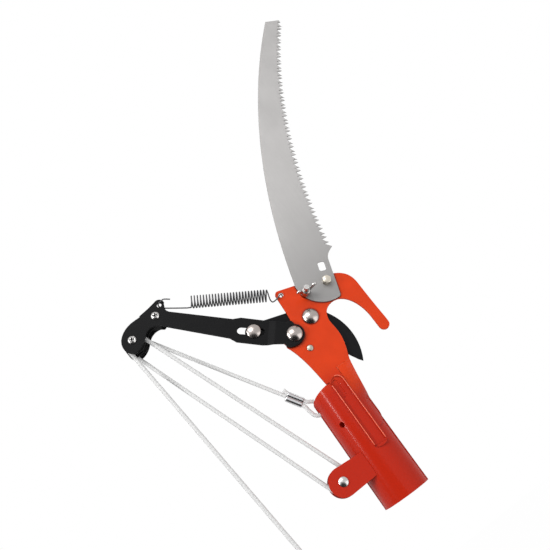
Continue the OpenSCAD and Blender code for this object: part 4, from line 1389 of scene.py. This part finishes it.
# Outline of the lever's fuller end: angle in degrees from +X towards +Z, and radius in millimetres
LEVER_END = (
    (0, 9.3), (55, 9.3), (62, 11.0), (68, 12.9), (76, 13.5), (86, 13.6), (95, 13.2), (104, 10.0), (180, 9.3),
    (190, 13.0), (204, 14.6), (218, 13.8), (230, 12.8), (243, 11.7), (258, 10.8), (275, 10.2), (293, 9.6),
    (313, 9.3), (330, 9.3), (360, 9.3),
)
LEVER_END_BORE = 7 * MM
# How far it stays behind the lever's front and before the plate, and the angle between its points
LEVER_END_INSET = 0.05 * MM
LEVER_END_GAP = 0.15 * MM
LEVER_END_STEP = 3


class PRUNER_OT_lever_end(bpy.types.Operator):
    """Fills out the lever's round end about its pivot"""

    bl_idname = "pruner.lever_end"
    bl_label = "Lever end"

    def execute(self, context):
        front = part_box("lever")[0].y + LEVER_END_INSET
        back = PLATE_FRONT - LEVER_END_GAP
        shape = bmesh.new()
        rings = []
        for degrees in range(0, 360, LEVER_END_STEP):
            turn, reach = math.radians(degrees), self.reach(degrees)
            corners = ((LEVER_END_BORE, front), (reach, front), (reach, back), (LEVER_END_BORE, back))
            rings.append([shape.verts.new(on_circle(LEVER_PIVOT, radius, turn, y)) for radius, y in corners])
        join_rings(shape, rings + rings[:1])
        mesh = mesh_from("lever_end", shape, False)
        piece = object_from("lever_end", mesh, black_satin(settings("pruner_paint")))
        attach(piece, "lever")
        return {"FINISHED"}

    def reach(self, degrees):
        """Radius of the outline at an angle."""
        for (start, near), (end, far) in zip(LEVER_END, LEVER_END[1:]):
            if degrees <= end:
                return (near + (far - near) * (degrees - start) / (end - start)) * MM


# Heights between which the paint deepens, partly its own deeper red and partly painted shade, on the plate and
# on the rolled neck, and the neck's lighter tone, painted light against its own shading
COAT_SHADE_FADE = (0.136, 0.108)
ROLLED_SHADE_FADE = (0.112, 0.090)
ROLLED_LIGHTENING = 1.04


class PRUNER_OT_finishes(bpy.types.Operator):
    """Gives every CAD solid that stays in view its finish"""

    bl_idname = "pruner.finishes"
    bl_label = "Finishes"

    def execute(self, context):
        paint = settings("pruner_paint")
        # The paint deepens towards the socket, partly its own colour and partly painted shade
        coat = enamel("orange_enamel", paint.plate, paint.socket, COAT_SHADE_FADE)
        paint_nodes(coat, "head_plate", "pole_socket", "pulley_bracket")
        # The rolled neck's paint is made lighter, painted light against its own shading, and deepens lower
        # down as painted shade
        rolled = enamel("rolled_enamel", shaded(paint.plate, ROLLED_LIGHTENING), paint.socket, ROLLED_SHADE_FADE)
        paint_nodes(rolled, "neck_shoulder")
        paint_nodes(black_satin(paint), "lever")
        # The plastic's lighter grey rims are partly wear and partly painted highlight of rims catching the
        # light
        moulded = sheet_metal(
            "moulded_black", paint.moulded, roughness=0.48, edge=grey(0.38), wear_and_highlight=0.8, grain=1600.0,
            gloss=0.05,
        )
        paint_nodes(moulded, "block_spacers", "front_sheave", "rear_sheave", "body_sheave")
        coating = coated_blade("black_coating", paint.blade, paint.ground_edge)
        paint_nodes(coating, "cutting_blade")
        plated = sheet_metal(
            "nickel_plate", paint.nickel, roughness=0.28, metallic=1.0, edge=grey(0.82), wear_and_highlight=0.3,
            grain=700.0,
        )
        paint_nodes(
            plated, "main_pivot_washer", "main_pivot_nut", "block_screw", "sheave_axle_screw", "block_nuts",
            "body_pulley_rivet", "wing_stud",
        )
        yellow = sheet_metal(
            "yellow_zinc", paint.zinc, roughness=0.33, metallic=0.9, edge=(0.85, 0.80, 0.66), wear_and_highlight=0.4,
            grain=600.0,
        )
        paint_nodes(yellow, "saw_bolt", "saw_bolt_nut")
        return {"FINISHED"}


OPERATORS = (
    PRUNER_OT_stage,
    PRUNER_OT_rope,
    PRUNER_OT_ferrule,
    PRUNER_OT_spring,
    PRUNER_OT_domed_heads,
    PRUNER_OT_drive_recesses,
    PRUNER_OT_wing_nut,
    PRUNER_OT_ground_saw,
    PRUNER_OT_block_cheeks,
    PRUNER_OT_bead_crests,
    PRUNER_OT_lever_end,
    PRUNER_OT_finishes,
)


class PRUNER_PT_panel(bpy.types.Panel):
    """Lists the steps that dress the pruner head"""

    bl_idname = "PRUNER_PT_panel"
    bl_label = "Tree Pruner Head"
    bl_space_type = "VIEW_3D"
    bl_region_type = "UI"
    bl_category = "Pruner"

    def draw(self, context):
        for operator in OPERATORS:
            self.layout.operator(operator.bl_idname)


SETTINGS = {
    "pruner_stage": PrunerStageSettings,
    "pruner_paint": PrunerPaintSettings,
    "pruner_rope": PrunerRopeSettings,
    "pruner_spring": PrunerSpringSettings,
}


def register():
    for group, kind in SETTINGS.items():
        bpy.utils.register_class(kind)
        setattr(bpy.types.Scene, group, bpy.props.PointerProperty(type=kind))
    for kind in (*OPERATORS, PRUNER_PT_panel):
        bpy.utils.register_class(kind)


def unregister():
    for kind in reversed((*OPERATORS, PRUNER_PT_panel)):
        bpy.utils.unregister_class(kind)
    for group, kind in SETTINGS.items():
        delattr(bpy.types.Scene, group)
        bpy.utils.unregister_class(kind)


def main():
    register()
    bpy.ops.pruner.stage()
    bpy.ops.pruner.rope()
    bpy.ops.pruner.ferrule()
    bpy.ops.pruner.spring()
    bpy.ops.pruner.domed_heads()
    bpy.ops.pruner.drive_recesses()
    bpy.ops.pruner.wing_nut()
    bpy.ops.pruner.ground_saw()
    bpy.ops.pruner.block_cheeks()
    bpy.ops.pruner.bead_crests()
    bpy.ops.pruner.lever_end()
    bpy.ops.pruner.finishes()


if __name__ == "__main__":
    main()
